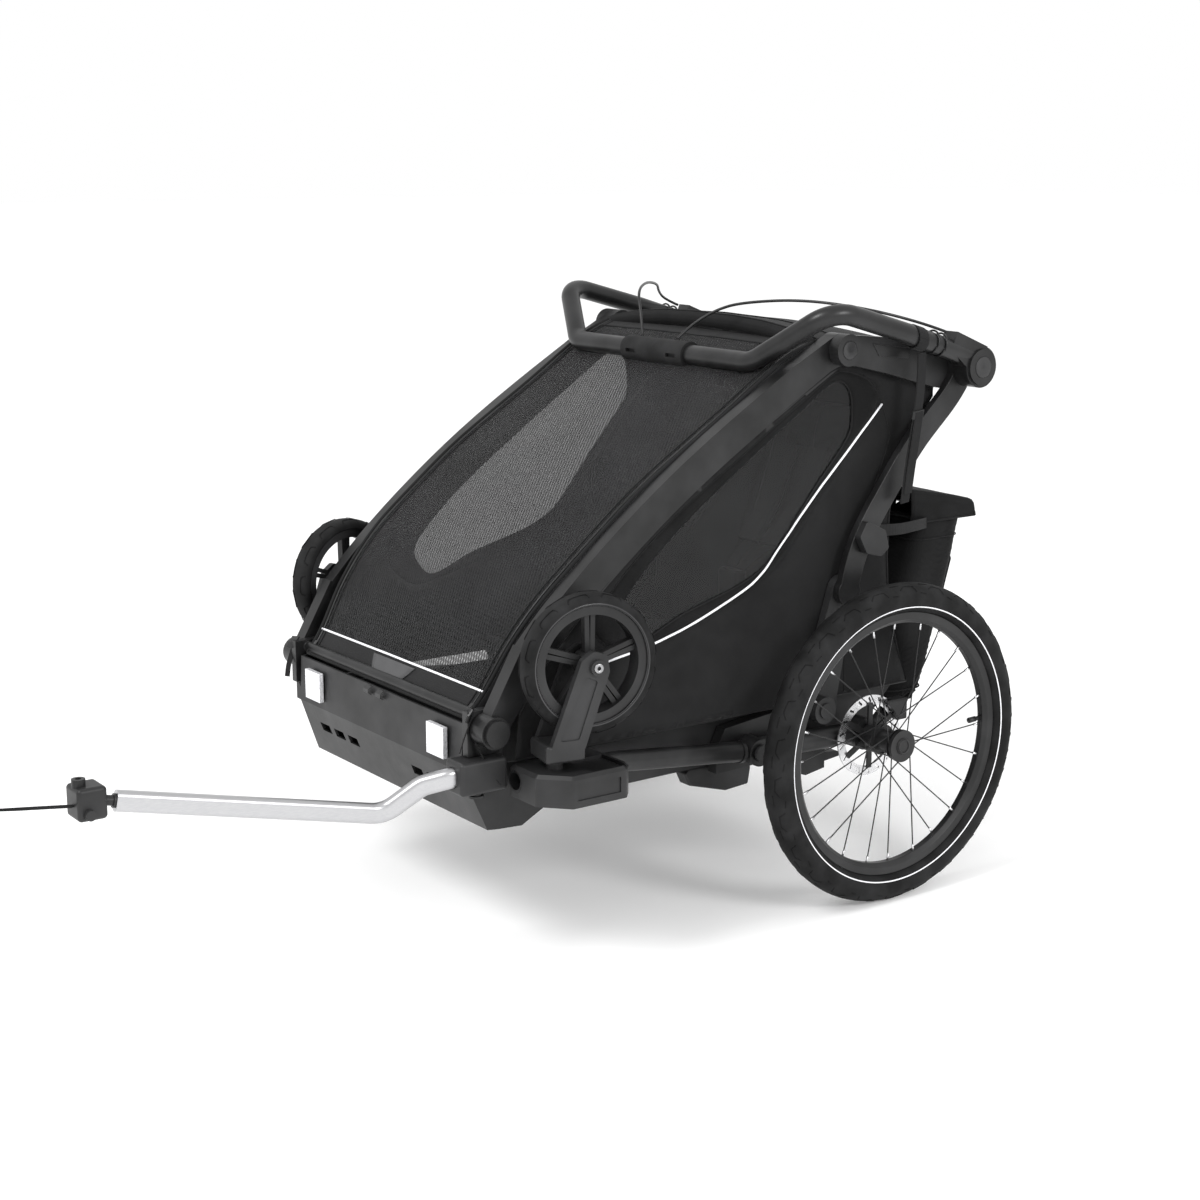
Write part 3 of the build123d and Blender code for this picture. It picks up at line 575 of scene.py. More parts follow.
def front_cover():
    net = cover_sheet("front_cover_mesh", 0.055, PIPING_AT, "mesh_fabric")
    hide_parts("front_cover")
    band = cover_sheet("front_cover_lower_band", PIPING_AT, 1.0, "cover_cloth", rows=14)
    top = cover_sheet("front_cover_top_band", 0.0, 0.06, "cover_cloth", 0.6, rows=8)
    tube("front_cover_piping", cover_width_line(PIPING_AT, 1.2), 0.0017, "piping_white", "front_frame")
    tube("front_cover_top_seam", cover_width_line(0.06, 0.9), 0.0012, "shell_fabric", "front_frame")
    tube("front_cover_fold_seam", cover_width_line(0.115, 0.6), 0.0007, "shell_fabric", "front_frame")
    tube("front_cover_hem", cover_width_line(1.0, 0.6), 0.0026, "shell_fabric", "front_frame")
    for side, sign in SIDES:
        edges = ((0.985, 0.0032, "shell_fabric"), (0.955, 0.0016, "zip_black"),
                 (0.915, 0.0011, "shell_fabric"))
        for k, (reach, radius, look) in enumerate(edges):
            line = [cover_point(i / 79, sign * reach, 1.4) for i in range(80)]
            tube(f"front_cover_edge_{k}_{side}", line, radius, look, "front_frame", sides=8)
        flap = [cover_point(i / 79, sign, lift) for i in range(80) for lift in (0.4, -14.0, -30.0)]
        curtain = piece(f"front_cover_side_flap_{side}", flap, quads(80, 3), "shell_fabric", "front_frame")
        solidify(curtain, 0.0012, 0.0)
        pull = [cover_point(0.93, sign * 0.955, 2.4), cover_point(0.96, sign * 0.955, 4.0),
                cover_point(0.985, sign * 0.95, 4.4)]
        strip(f"front_cover_zip_pull_{side}", pull, 0.007, 0.0018, "zip_black", "front_frame", ACROSS)
    patch_x = ((-60, -46), (58, 37))
    low, high = PIPING_AT + 0.012, PIPING_AT + (1 - PIPING_AT) * 0.66
    points = []
    for i in range(9):
        f = i / 8
        a, b = (p[0] + (p[1] - p[0]) * f for p in patch_x)
        for j in range(9):
            x = a + (b - a) * j / 8
            points.append(cover_point(low + (high - low) * f, x / cover_half(385), 1.2))
    patch = piece("front_cover_patch", points, quads(9, 9), "patch_grey", "front_frame")
    solidify(patch, 0.0016)
    for k, x in enumerate((-34, 2)):
        hook = [at(x + 14, -689, 361), at(x + 14, -694, 357), at(x + 14, -694, 352), at(x + 14, -689, 349)]
        strip(f"front_cover_hook_{k}", hook, 0.015, 0.0014, "buckle_plastic", "front_frame", ACROSS)


# ---- side panels and windows ----------------------------------------------------------------------------

WINDOW = [(-415, 452), (-340, 480), (-255, 503), (-212, 518), (-177, 538), (-142, 576), (-89, 641),
          (-40, 696), (-20, 726), (-19, 755), (-23, 780), (-36, 796), (-55, 799), (-76, 790), (-110, 767),
          (-170, 728), (-250, 674), (-333, 616), (-400, 561), (-448, 508), (-447, 478)]
BORDER = [(-455, 440), (-400, 446), (-300, 471), (-245, 490), (-203, 508), (-159, 533), (-116, 580),
          (-63, 648), (-12, 707), (18, 738), (34, 764), (30, 786), (8, 800), (-27, 812), (-56, 811),
          (-100, 784), (-170, 741), (-250, 690), (-340, 633), (-415, 577), (-480, 515), (-500, 480)]
PANEL = [(-630, 310), (-623, 376), (-585, 434), (-514, 508), (-428, 582), (-348, 642), (-230, 719),
         (-112, 787), (-64, 814), (-27, 827), (22, 817), (92, 797), (150, 783), (148, 764), (118, 730),
         (92, 690), (72, 640), (64, 590), (62, 520), (68, 440), (90, 370), (112, 312)]
SIDE_PIPING = [(-555, 418), (-466, 431), (-390, 445), (-310, 468), (-225, 501), (-187, 525), (-159, 555),
               (-82, 637), (42, 759)]
REAR_SEAM = [(2.5, 806), (35, 773), (58, 718), (57, 695), (20, 600), (-10, 500), (-20, 400), (-20, 316)]
SKIN_X = 285.6


def smooth_loop(points, each=5):
    points = [Vector((*p, 0)) for p in points]
    count = len(points)
    made = []
    for k in range(count):
        a, b, c, d = (points[(k + s) % count] for s in (-1, 0, 1, 2))
        for i in range(each):
            f = i / each
            q = spline_point(a, b, c, d, f)
            made.append((q.x, q.y))
    return made


def side_bulge(y, z):
    """How far the side cloth stands out from its flat plane, in millimetres."""
    low = 4.5 * exp(-((y + 330) / 170) ** 2 - ((z - 385) / 75) ** 2)
    pull = -3.0 * exp(-((y + 230) / 150) ** 2 - ((z - 600) / 90) ** 2)
    folds = 0.9 * noise.noise(Vector((y / 60, z / 45, 5.0)))
    folds += 0.5 * noise.noise(Vector((y / 18, z / 60, 9.0)))
    calm = min(1.0, max(0.0, (y + 620) / 60)) * min(1.0, max(0.0, (100 - y) / 40))
    return (low + pull + folds) * calm


def side_place(sign, lift=0.0):
    return lambda y, z: at(sign * (SKIN_X + side_bulge(y, z) + lift), y, z)


def side_cloth():
    loops = {"border": smooth_loop(BORDER), "window": smooth_loop(WINDOW)}
    for side, sign in SIDES:
        skin = flat_fill(f"side_panel_cloth_{side}", PANEL, [loops["border"]], side_place(sign),
                         "shell_fabric", "chassis", 13.0)
        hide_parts("side_panel_" + side)
        border = flat_fill(f"side_window_border_{side}", loops["border"], [loops["window"]],
                           side_place(sign, 0.5), "border_mesh", "chassis", 12.0)
        pane = flat_fill(f"side_window_film_{side}", loops["window"], [], side_place(sign, -0.6),
                         "window_film", "chassis", 18.0)
        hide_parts("side_windows")
        line = smooth_line([(0, y, z) for y, z in SIDE_PIPING], 70)
        piping = tube(f"side_piping_{side}", [side_place(sign, 1.8)(p.y, p.z) for p in line], 0.0017,
                      "piping_white", "chassis")
        rim_line = [side_place(sign, 1.0)(y, z) for y, z in loops["window"]]
        bind = tube(f"side_window_binding_{side}", rim_line, 0.0013, "shell_fabric", "chassis", 8, True)
        edge_line = [side_place(sign, 1.0)(y, z) for y, z in loops["border"]]
        edge = tube(f"side_window_seam_{side}", edge_line, 0.0009, "webbing", "chassis", 8, closed=True)
        seam_line = smooth_line([(0, y, z) for y, z in REAR_SEAM], 60)
        seam = tube(f"side_rear_seam_{side}", [side_place(sign, 0.8)(p.y, p.z) for p in seam_line], 0.0011,
                    "webbing", "chassis", 8)
        hem_line = [side_place(sign, 1.0)(y, z) for y, z in PANEL[1:] + PANEL[:1]]
        hem = tube(f"side_hem_{side}", hem_line, 0.0018, "shell_fabric", "chassis", 8)
        for part, thick in ((skin, 0.0016), (border, 0.0014)):
            solidify(part, thick, 0.0)
            bake(part)
        fold_down((skin, border, pane, piping, bind, edge, seam, hem))


# ---- roof and rear --------------------------------------------------------------------------------------

ROOF_HALF = 263.0


def roof_point(along, across, lift=0.0):
    """The crowned roof: along 0 at the front seam and 1 at the rear edge, across from -1 to 1."""
    y = -76 + along * 262
    edge = 861 - 4 * along - 33 * along ** 2.2
    crown = 23 - 8 * along
    sag = 1.6 * noise.noise(Vector((across * 4.0, along * 3.0, 1.0)))
    z = edge + crown * (1 - abs(across) ** 2.6) + sag * (1 - across * across) + lift
    return at(across * ROOF_HALF, y, z)


def roof():
    rows, columns = 40, 61
    points = [roof_point(i / (rows - 1), 2 * j / (columns - 1) - 1)
              for i in range(rows) for j in range(columns)]
    top = solidify(piece("roof_cloth", points, quads(rows, columns), "shell_fabric", "top_frame"), 0.0018)
    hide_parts("roof")
    lip = [roof_point(0, 2 * j / 60 - 1) for j in range(61)]
    lip += [p + Vector((0, -0.003, -0.012)) for p in lip] + [p + Vector((0, 0.002, -0.022)) for p in lip[:61]]
    apron = solidify(piece("roof_front_lip", lip, quads(3, 61), "shell_fabric", "top_frame"), 0.0016)
    for name, along, radius in (("front", 0.02, 0.0015), ("band", 0.2, 0.0009), ("rear", 0.99, 0.002)):
        line = [roof_point(along, 1.98 * j / 60 - 0.99, 1.0) for j in range(61)]
        tube(f"roof_seam_{name}", line, radius, "webbing", "top_frame", 8)


REAR_LINE = [(180, 820), (152, 776), (118, 730), (92, 690), (72, 640), (64, 590), (62, 520), (68, 440),
             (90, 370), (114, 309)]


def rear_point(down, across, lift=0.0):
    line = rear_point.line
    p = line[min(int(down * (len(line) - 1)), len(line) - 1)]
    half = 282.0
    belly = 5.0 * sin(pi * down) * (1 - across ** 4)
    folds = 1.6 * noise.noise(Vector((across * 6, down * 5, 3.0))) * (1 - abs(across) ** 3)
    turn = 14.0 * max(0.0, abs(across) - 0.94) / 0.06
    return at(across * half, p.y + belly + folds - turn + lift, p.z)


rear_point.line = smooth_line([(0, y, z) for y, z in REAR_LINE], 61)


def rear_cloth():
    points = [rear_point(i / 60, 2 * j / 60 - 1) for i in range(61) for j in range(61)]
    back = solidify(piece("rear_panel_cloth", points, quads(61, 61), "shell_fabric", "chassis"), 0.0016)
    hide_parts("rear_panel")
    trims = []
    for name, down in (("top", 0.02), ("yoke", 0.3), ("hem", 0.985)):
        line = [rear_point(down, 1.9 * j / 60 - 0.95, 1.4) for j in range(61)]
        trims.append(tube(f"rear_seam_{name}", line, 0.0013, "webbing", "chassis", 8))
    for side, sign in SIDES:
        line = [rear_point(0.05 + 0.9 * i / 50, sign * 0.86, 1.4) for i in range(51)]
        trims.append(tube(f"rear_zip_{side}", line, 0.0017, "zip_black", "chassis", 8))
    line = [rear_point(0.66, 1.5 * j / 60 - 0.75, 1.8) for j in range(61)]
    trims.append(tube("rear_piping", line, 0.0017, "piping_white", "chassis", 8))
    bake(back)
    fold_down([back] + trims)


# ---- seat and harness -----------------------------------------------------------------------------------

SEAT_FOOT = (-49, 352)
CHILD_X = 116


def cushion(name, corner, along_x, along_y, thick, size, rows=26, grooves=()):
    """A crowned pad whose sides pull in between its corners, with sewn channels across it."""
    width, length = size
    normal = along_x.cross(along_y).normalized()
    top, bottom = [], []
    for i in range(rows):
        v = i / (rows - 1)
        for j in range(rows):
            u = j / (rows - 1)
            pull_u = 0.03 * sin(pi * v) * (2 * u - 1)
            pull_v = 0.03 * sin(pi * u) * (2 * v - 1)
            rise = (16 * u * (1 - u) * v * (1 - v)) ** 0.32
            channel = sum(exp(-((v - g) * length / 0.006) ** 2) for g in grooves)
            middle = exp(-((u - 0.5) * width / 0.007) ** 2) * 0.35
            lift = thick * rise * (1 - 0.45 * channel - middle)
            lift += 0.0012 * noise.noise(Vector((u * 7, v * 7, 4.0))) * rise
            base = corner + along_x * width * (u - pull_u) + along_y * length * (v - pull_v)
            top.append(base + normal * lift)
            bottom.append(base - normal * 0.002 * rise)
    faces = quads(rows, rows)
    count = rows * rows
    faces += [tuple(k + count for k in reversed(f)) for f in quads(rows, rows)]
    ring = [j for j in range(rows)] + [i * rows + rows - 1 for i in range(1, rows)]
    ring += [(rows - 1) * rows + j for j in range(rows - 2, -1, -1)]
    ring += [i * rows for i in range(rows - 2, 0, -1)]
    faces += [(a, a + count, b + count, b) for a, b in zip(ring, ring[1:] + ring[:1])]
    pad = piece(name, top + bottom, faces, "seat_fabric", "chassis")
    smooth = pad.modifiers.new("smooth", "SUBSURF")
    smooth.levels = smooth.render_levels = 1
    bake(pad)
    fold_down([pad])
    return pad


def seat_and_harness():
    back_along = Vector((0, 144, 400)).normalized()
    for k, x in enumerate((-228, 4)):
        name = ("right", "left")[k]
        cushion(f"seat_base_pad_{name}", at(x, -338, 350), ACROSS, Vector((0, 1, 0)), 0.024,
                            (0.224, 0.284), grooves=(0.3, 0.62))
        cushion(f"seat_back_pad_{name}", at(x, *SEAT_FOOT), ACROSS, back_along, 0.02,
                            (0.224, 0.412), grooves=(0.25, 0.5, 0.75))
        cushion(f"head_pad_{name}", at(x + 32, 62, 660), ACROSS, back_along, 0.026, (0.16, 0.088))
    sling = [at(x, y, z) for y, z in ((-344, 348), (-200, 345), (-70, 343), (-46, 346), (60, 640), (94, 742))
             for x in range(-230, 231, 23)]
    shell = solidify(piece("seat_sling", sling, quads(6, 21), "shell_fabric", "chassis"), 0.004)
    skirt = [at(x, y, z) for y, z in ((-344, 350), (-350, 338), (-346, 318)) for x in range(-230, 231, 23)]
    front = solidify(piece("seat_front_skirt", skirt, quads(3, 21), "seat_fabric", "chassis"), 0.003)
    bake(shell)
    bake(front)
    fold_down((shell, front))
    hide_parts("seat")
    out = Vector((0, -back_along.z, back_along.y))
    for child in (-1, 1):
        for shoulder in (-1, 1):
            x = child * CHILD_X + shoulder * 40
            top = at(x, *SEAT_FOOT) + back_along * 0.36 + out * 0.019
            mid = at(child * CHILD_X + shoulder * 34, *SEAT_FOOT) + back_along * 0.2 + out * 0.034
            low = at(child * CHILD_X + shoulder * 10, -108, 487)
            above, below = top.lerp(mid, 0.5) + out * 0.006, mid.lerp(low, 0.6) + out * 0.004
            line = smooth_line([top, above, mid, below, low], 24)
            name = f"shoulder_strap_{'l' if child > 0 else 'r'}{'o' if shoulder > 0 else 'i'}"
            web = strip(name, line, 0.024, 0.0018, "webbing", "chassis", ACROSS)
            if child == shoulder == -1:
                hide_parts("harness_straps")
            pad_line = smooth_line([line[2] + out * 0.003, line[9] + out * 0.004, line[15] + out * 0.004], 12)
            guard = strip(name + "_pad", pad_line, 0.05, 0.011, "seat_fabric", "chassis", ACROSS)
            fold_down((web, guard))
        x = child * CHILD_X
        crotch = smooth_line([at(x, -150, 375), at(x, -136, 405), at(x, -112, 442)], 12)
        name = f"crotch_strap_{'l' if child > 0 else 'r'}"
        web = strip(name, crotch, 0.03, 0.002, "webbing", "chassis", ACROSS)
        fold_down([web])


# ---- cargo bag ------------------------------------------------------------------------------------------

BAG_LOW, BAG_HEIGHT = 258, 300
BAG_SWELL = 5.0


def bag_ring(z, grow=0.0):
    """One level of the bag as a rounded rectangle; the cloth bellies a little between its corners."""
    swell = BAG_SWELL * sin(pi * (z - BAG_LOW) / BAG_HEIGHT)
    front = [(258, 134), (300, 138), (450, 160), (566, 195)]
    rear = [(258, 200), (272, 210), (431, 261), (497, 281), (566, 297)]

    def look_up(table):
        for (z0, y0), (z1, y1) in zip(table, table[1:]):
            if z <= z1:
                return y0 + (y1 - y0) * (z - z0) / (z1 - z0)
        return table[-1][1]

    y0, y1, half, corner = look_up(front) - grow, look_up(rear) + grow, 227.0 + grow, 24.0
    ring = []
    for cx, cy, start in ((half - corner, y1 - corner, 0), (-half + corner, y1 - corner, 90),
                          (-half + corner, y0 + corner, 180), (half - corner, y0 + corner, 270)):
        for k in range(7):
            turn = radians(start + 15 * k)
            ring.append((cx + corner * cos(turn), cy + corner * sin(turn)))
    dense = []
    for a, b in zip(ring, ring[1:] + ring[:1]):
        dense += divided(a, b, 14)
    made = []
    for x, y in dense:
        share_x, share_y = x / half, (y - y0) / (y1 - y0)
        belly = swell * (1 - share_x ** 4)
        fold = 2.2 * noise.noise(Vector((x / 55, z / 90, y / 80)))
        fold += 1.0 * noise.noise(Vector((x / 20, z / 50, 7)))
        push = (belly + fold) * (2 * share_y - 1)
        made.append(at(x * (1 + 0.006 * fold), y + push, z))
    return made


def cargo_bag():
    rings = [bag_ring(BAG_LOW + BAG_HEIGHT * i / 30) for i in range(31)]
    count = len(bag_ring(400))
    base = sum(rings[0], Vector()) / count
    floor_rings = [[base + (p - base) * f for p in rings[0]] for f in (0.25, 0.6, 0.9)]
    every = floor_rings + rings
    points = [p for ring in every for p in ring] + [base]
    faces = quads(len(every), count, wrap_columns=True)
    faces += [(len(points) - 1, (j + 1) % count, j) for j in range(count)]
    body = solidify(piece("cargo_bag_body", points, faces, "bag_cloth", "chassis"), 0.002)
    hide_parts("cargo_bag")
    bake(body)
    trims = []
    for name, z, radius in (("rim", 558, 0.004), ("band", 522, 0.0011), ("base", 276, 0.0016)):
        trims.append(tube(f"cargo_bag_{name}", bag_ring(z, 1.0), radius, "webbing", "chassis", 8, closed=True))
    for side, sign in SIDES:
        edge = [max((p for p in bag_ring(z, 1.4) if p.x * sign > 0.19), key=lambda p: p.y)
                for z in range(550, 262, -14)]
        trims.append(strip(f"cargo_bag_strap_{side}", edge, 0.02, 0.0018, "webbing", "chassis", ACROSS))
        hold = smooth_line([at(sign * 300, 30, 566), at(sign * 286, 90, 560), at(sign * 262, 150, 556),
                            at(sign * 231, 200, 550)], 24)
        trims.append(strip(f"cargo_bag_hanger_{side}", hold, 0.018, 0.0018, "webbing", "chassis", (0, 0, 1)))
    pocket = [at(x, 288 - (540 - z) * 0.215 + 3.0 * sin(pi * (x + 180) / 360), z)
              for z in (500, 470, 430, 380, 340) for x in range(-180, 181, 20)]
    pocket_cloth = piece("cargo_bag_pocket", pocket, quads(5, 19), "border_mesh", "chassis")
    trims.append(bake(solidify(pocket_cloth, 0.0012)))
    fold_down([body] + trims)
    bag_lid()


def bag_lid():
    """The lid: a crowned sheet whose skirt hangs over the bag's rim at the sides and the rear."""
    low = 552.0
    half_row = [(x, 0.0) for x in range(16, 225, 16)]
    half_row += [(229, 0.03), (231.5, 0.15), (233, 0.45), (233, 0.75), (232, 1.0)]
    across = [(-x, drop) for x, drop in half_row[::-1]] + [(0, 0.0)] + half_row
    along = [(165 + 9 * k, 0.0) for k in range(16)] + [(304, 0.06), (307, 0.25), (308, 0.6), (308, 1.0)]
    rows, columns = len(along), len(across)
    points = []
    for y, rear_drop in along:
        for x, side_drop in across:
            v, u = (y - 165) / 143, x / 233
            crown = 4 * (1 - u * u) * sin(pi * v)
            top = 609 - 30 * v + crown + 1.4 * noise.noise(Vector((u * 4, v * 3, 0.5)))
            wave = 1.6 * noise.noise(Vector((u * 6, v * 6, 3.5))) * max(side_drop, rear_drop)
            z = top - (top - low) * max(side_drop, rear_drop)
            points.append(at(x + (wave if x > 0 else -wave), y + wave, z))
    lid = piece("bag_lid_cloth", points, quads(rows, columns), "bag_cloth", "bag_lid")
    solidify(lid, 0.0026)
    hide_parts("bag_lid")
    tube("bag_lid_hem", points[-columns:], 0.0017, "webbing", "bag_lid", 8)
    for side, sign in SIDES:
        column = columns - 1 if sign > 0 else 0
        hem = [points[i * columns + column] for i in range(rows)]
        tube(f"bag_lid_side_hem_{side}", hem, 0.0017, "webbing", "bag_lid", 8)
        tab = [at(sign * 170, 310, 566), at(sign * 170, 310, 553), at(sign * 170, 306, 538)]
        strip(f"bag_lid_tab_{side}", tab, 0.02, 0.002, "webbing", "bag_lid", ACROSS)


# ---- wheels ---------------------------------------------------------------------------------------------

WHEEL_X, AXLE_Z = 377.0, 250.0
TYRE_CENTRE_R, TYRE_SECTION_R = 226.5, 23.5


def millimetres(*profile):
    """A profile given in millimetres, in metres."""
    return [(x / 1000, r / 1000) for x, r in profile]


def wheel_spot(sign, x, radius, angle):
    return at(sign * x, radius * cos(angle), AXLE_Z + radius * sin(angle))


def tyre_spot(sign, roll, angle, lift=0.0):
    """A point on the tyre's skin: roll 0 on the tread's middle line, 90 on the outer side wall."""
    r = TYRE_SECTION_R + lift
    return wheel_spot(sign, WHEEL_X + r * sin(radians(roll)), TYRE_CENTRE_R + r * cos(radians(roll)), angle)


def tyre(side, sign):
    centre = at(sign * WHEEL_X, 0, AXLE_Z)
    outline = []
    for k in range(30):
        roll = radians(-148 + 296 * k / 29)
        r = TYRE_SECTION_R - (0.35 if abs(roll) > 2.3 else 0.0)
        outline.append((r * sin(roll) / 1000, (TYRE_CENTRE_R + r * cos(roll)) / 1000))
    inner = [(-0.0105, 0.2068), (0.0105, 0.2068)]
    outline += inner[::-1]
    skin = lathe(f"tyre_skin_{side}", outline, centre, (sign, 0, 0), "tyre_rubber", f"wheel_{side}", 144)
    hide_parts(f"tyre_{side}")
    ring = millimetres((20.3, 218.2), (21.0, 216.9), (21.1, 215.6), (20.6, 214.3), (19.6, 215.6),
                       (19.4, 217.2))
    lathe(f"tyre_reflective_ring_{side}", ring, centre, (sign, 0, 0), "piping_white", f"wheel_{side}", 144)
    groove_lines(side, sign)


def add_ribbon(points, faces, line, centre, half_width):
    """Add a flat ribbon along a line that lies on the skin of the wheel about centre."""
    start, last = len(points), len(line) - 1
    for i, p in enumerate(line):
        ahead = (line[min(i + 1, last)] - line[max(i - 1, 0)]).normalized()
        across = ahead.cross((p - centre).normalized()).normalized() * half_width
        points += [p - across, p + across]
    faces += [(start + 2 * i, start + 2 * i + 1, start + 2 * i + 3, start + 2 * i + 2) for i in range(last)]


def groove_lines(side, sign):
    """The tread's cut lines: an open hexagon and a notch at each shoulder, and a short bar near the middle."""
    pitches = 26
    pitch = 2 * pi / pitches
    hexagon = [(58, 0.12), (34, 0.2), (30, 0.5), (46, 0.66)]
    bar, notch = [(20, 0.62), (20, 0.9)], [(66, 0.78), (62, 0.98)]
    points, faces = [], []
    for mirror in (1, -1):
        for n in range(pitches):
            for path in (hexagon, bar, notch):
                spots = []
                for a, b in zip(path, path[1:]):
                    spots += [(a[0] + (b[0] - a[0]) * k / 4, a[1] + (b[1] - a[1]) * k / 4) for k in range(4)]
                spots.append(path[-1])
                line = [tyre_spot(sign, mirror * roll, (n + share + (0.5 if mirror < 0 else 0)) * pitch, 0.12)
                        for roll, share in spots]
                add_ribbon(points, faces, line, at(sign * WHEEL_X, 0, AXLE_Z), 0.0008)
    # the cut lines are drawn as darker, rougher ribbons laid on the tread: painted shade of its grooves
    cuts = piece(f"tyre_tread_cuts_{side}", points, faces, "groove_shade_black", f"wheel_{side}")
    solidify(cuts, 0.0005, 0.0)


def wheel_trim(side, sign):
    """Bright nipples where the spokes meet the rim, and the tube's valve."""
    points, faces = [], []
    per_flange = 12
    pitch = 2 * pi / per_flange
    for flange in range(2):
        lean = -1 if flange == 0 else 1
        for i in range(per_flange):
            angle = (i + 0.5 * flange) * pitch
            top = wheel_spot(sign, WHEEL_X + lean * 2.5, 190.5, angle)
            hub_turn = (1 if i % 2 else -1) * 0.11
            low = wheel_spot(sign, WHEEL_X + lean * 2.9, 178.5, angle + hub_turn * 0.06)
            add_rod(points, faces, low, top, 0.0019, 8)
    piece(f"spoke_nipples_{side}", points, faces, "bright_steel", f"wheel_{side}")
    points, faces = [], []
    turn = radians(3)
    for outer, inner, radius in ((190, 168, 0.0032), (178, 164, 0.0044)):
        start, end = wheel_spot(sign, WHEEL_X, outer, turn), wheel_spot(sign, WHEEL_X, inner, turn)
        add_rod(points, faces, start, end, radius, 12)
    piece(f"tyre_valve_{side}", points, faces, "buckle_plastic", f"wheel_{side}")
    button = at(sign * 402.4, 0, AXLE_Z)
    dish = [(0.0, 0.0085), (0.0012, 0.0095), (0.0012, 0.011), (0.0, 0.0118)]
    lathe(f"axle_button_ring_{side}", dish, button, (sign, 0, 0), "moulded_black", f"axle_button_{side}", 40)


def add_rod(points, faces, start, end, radius, sides):
    along = (end - start).normalized()
    across = along.cross(Vector((1, 0, 0)) if abs(along.x) < 0.8 else Vector((0, 1, 0))).normalized()
    other = along.cross(across)
    first = len(points)
    for p in (start, end):
        for k in range(sides):
            turn = 2 * pi * k / sides
            points.append(p + across * radius * cos(turn) + other * radius * sin(turn))
    faces += [(first + k, first + (k + 1) % sides, first + sides + (k + 1) % sides, first + sides + k)
              for k in range(sides)]
    faces += [tuple(range(first + sides - 1, first - 1, -1)), tuple(range(first + sides, first + 2 * sides))]


STEM_X, STEM_Y = 337.0, -599.0
CASTER_Y, CASTER_Z, CASTER_TOE = 51.0, 451.0, radians(11)


def caster_spot(sign, x, y, z):
    """From the left fork's own frame to the row frame."""
    turned_x = STEM_X + x * cos(CASTER_TOE) + y * sin(CASTER_TOE)
    turned_y = STEM_Y - x * sin(CASTER_TOE) + y * cos(CASTER_TOE)
    return at(sign * turned_x, turned_y, z)


def stroller_wheel(side, sign):
    centre = caster_spot(sign, 0, CASTER_Y, CASTER_Z)
    axis = Vector((sign * cos(CASTER_TOE), -sin(CASTER_TOE), 0))
    body = f"stroller_wheel_{side}"
    ring = millimetres((15.4, 82.4), (17.1, 83.6), (17.9, 85.6), (17.2, 87.4), (15.5, 87.2))
    lathe(f"stroller_ring_{side}", ring, centre, axis, "ring_gloss", body, 96)
    outline = []
    for k in range(25):
        turn = radians(-96 + 192 * k / 24)
        wide = 17.6 * (abs(sin(turn)) ** 0.72) * (1 if turn > 0 else -1)
        outline.append((wide / 1000, (84 + 15.2 * max(0.0, cos(turn)) ** 0.6) / 1000))
    outline += [(0.0150, 0.0838), (-0.0150, 0.0838)]
    skin = lathe(f"stroller_tyre_skin_{side}", outline, centre, axis, "tyre_rubber", body, 96)
    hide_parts(f"stroller_tyre_{side}")
    points, faces = [], []
    hooks = 12
    for mirror in (1, -1):
        for n in range(hooks):
            path = ((15.5, 94.4, 0.1), (11.5, 98.0, 0.14), (9.0, 99.1, 0.22), (9.0, 99.1, 0.62),
                    (12.0, 97.7, 0.7), (15.5, 94.4, 0.74))
            line = []
            for x, r, share in path:
                angle = (n + share + (0.5 if mirror < 0 else 0)) * 2 * pi / hooks
                line.append(caster_spot(sign, mirror * x, CASTER_Y + (r + 0.15) * cos(angle),
                                        CASTER_Z + (r + 0.15) * sin(angle)))
            add_ribbon(points, faces, smooth_line(line, 16), centre, 0.0009)
    # the hook-shaped cut lines are darker, rougher ribbons: painted shade of the tread's grooves
    cuts = piece(f"stroller_tread_cuts_{side}", points, faces, "groove_shade_black", body)
    solidify(cuts, 0.0006, 0.0)
    bolt = caster_spot(sign, 36.2, CASTER_Y, CASTER_Z)
    cap = [(0.0, 0.0022), (0.0014, 0.003), (0.0016, 0.0062), (0.0, 0.0074)]
    lathe(f"stroller_bolt_{side}", cap, bolt, axis, "bolt_grey", f"stroller_fork_{side}", 36)


# ---- handlebar trims, cords, straps and small parts -----------------------------------------------------

WRIST_ROUTE = [(335, 76, 838), (335, 77, 794), (335, 72, 750), (335, 63, 704), (335, 56, 658),
               (335, 50, 612)]
SAFETY_ROUTE = [(166, -1221, 325), (166, -1257, 330), (166, -1295, 335), (168, -1322, 339),
                (176, -1344, 342), (176, -1366, 344), (162, -1378, 344), (148, -1366, 342),
                (148, -1344, 340), (156, -1322, 336), (158, -1295, 332), (158, -1257, 327),
                (158, -1221, 322)]


BRAKE_NEAR = [(45, -166, 851.6), (47, -140, 872), (75, -112, 896), (112, -92, 908), (200, -52, 916),
              (290, -10, 908), (330, 78, 884), (333, 126, 868)]
BRAKE_FAR = [(-45, -166, 851.6), (-58, -160, 885), (-80, -150, 918), (-125, -100, 928), (-200, -20, 918),
             (-290, 50, 898), (-331, 94, 880), (-333, 126, 868)]


def cord_curve(name, route, bevel=0.0):
    data = bpy.data.curves.new(name, "CURVE")
    data.dimensions = "3D"
    data.resolution_u = 12
    spline = data.splines.new("NURBS")
    spline.points.add(len(route) - 1)
    for point, place in zip(spline.points, route):
        point.co = (*at(*place), 1)
    spline.order_u = 3
    spline.use_endpoint_u = True
    data.bevel_depth, data.bevel_resolution = bevel, 4
    obj = bpy.data.objects.new(name, data)
    bpy.context.collection.objects.link(obj)
    return obj


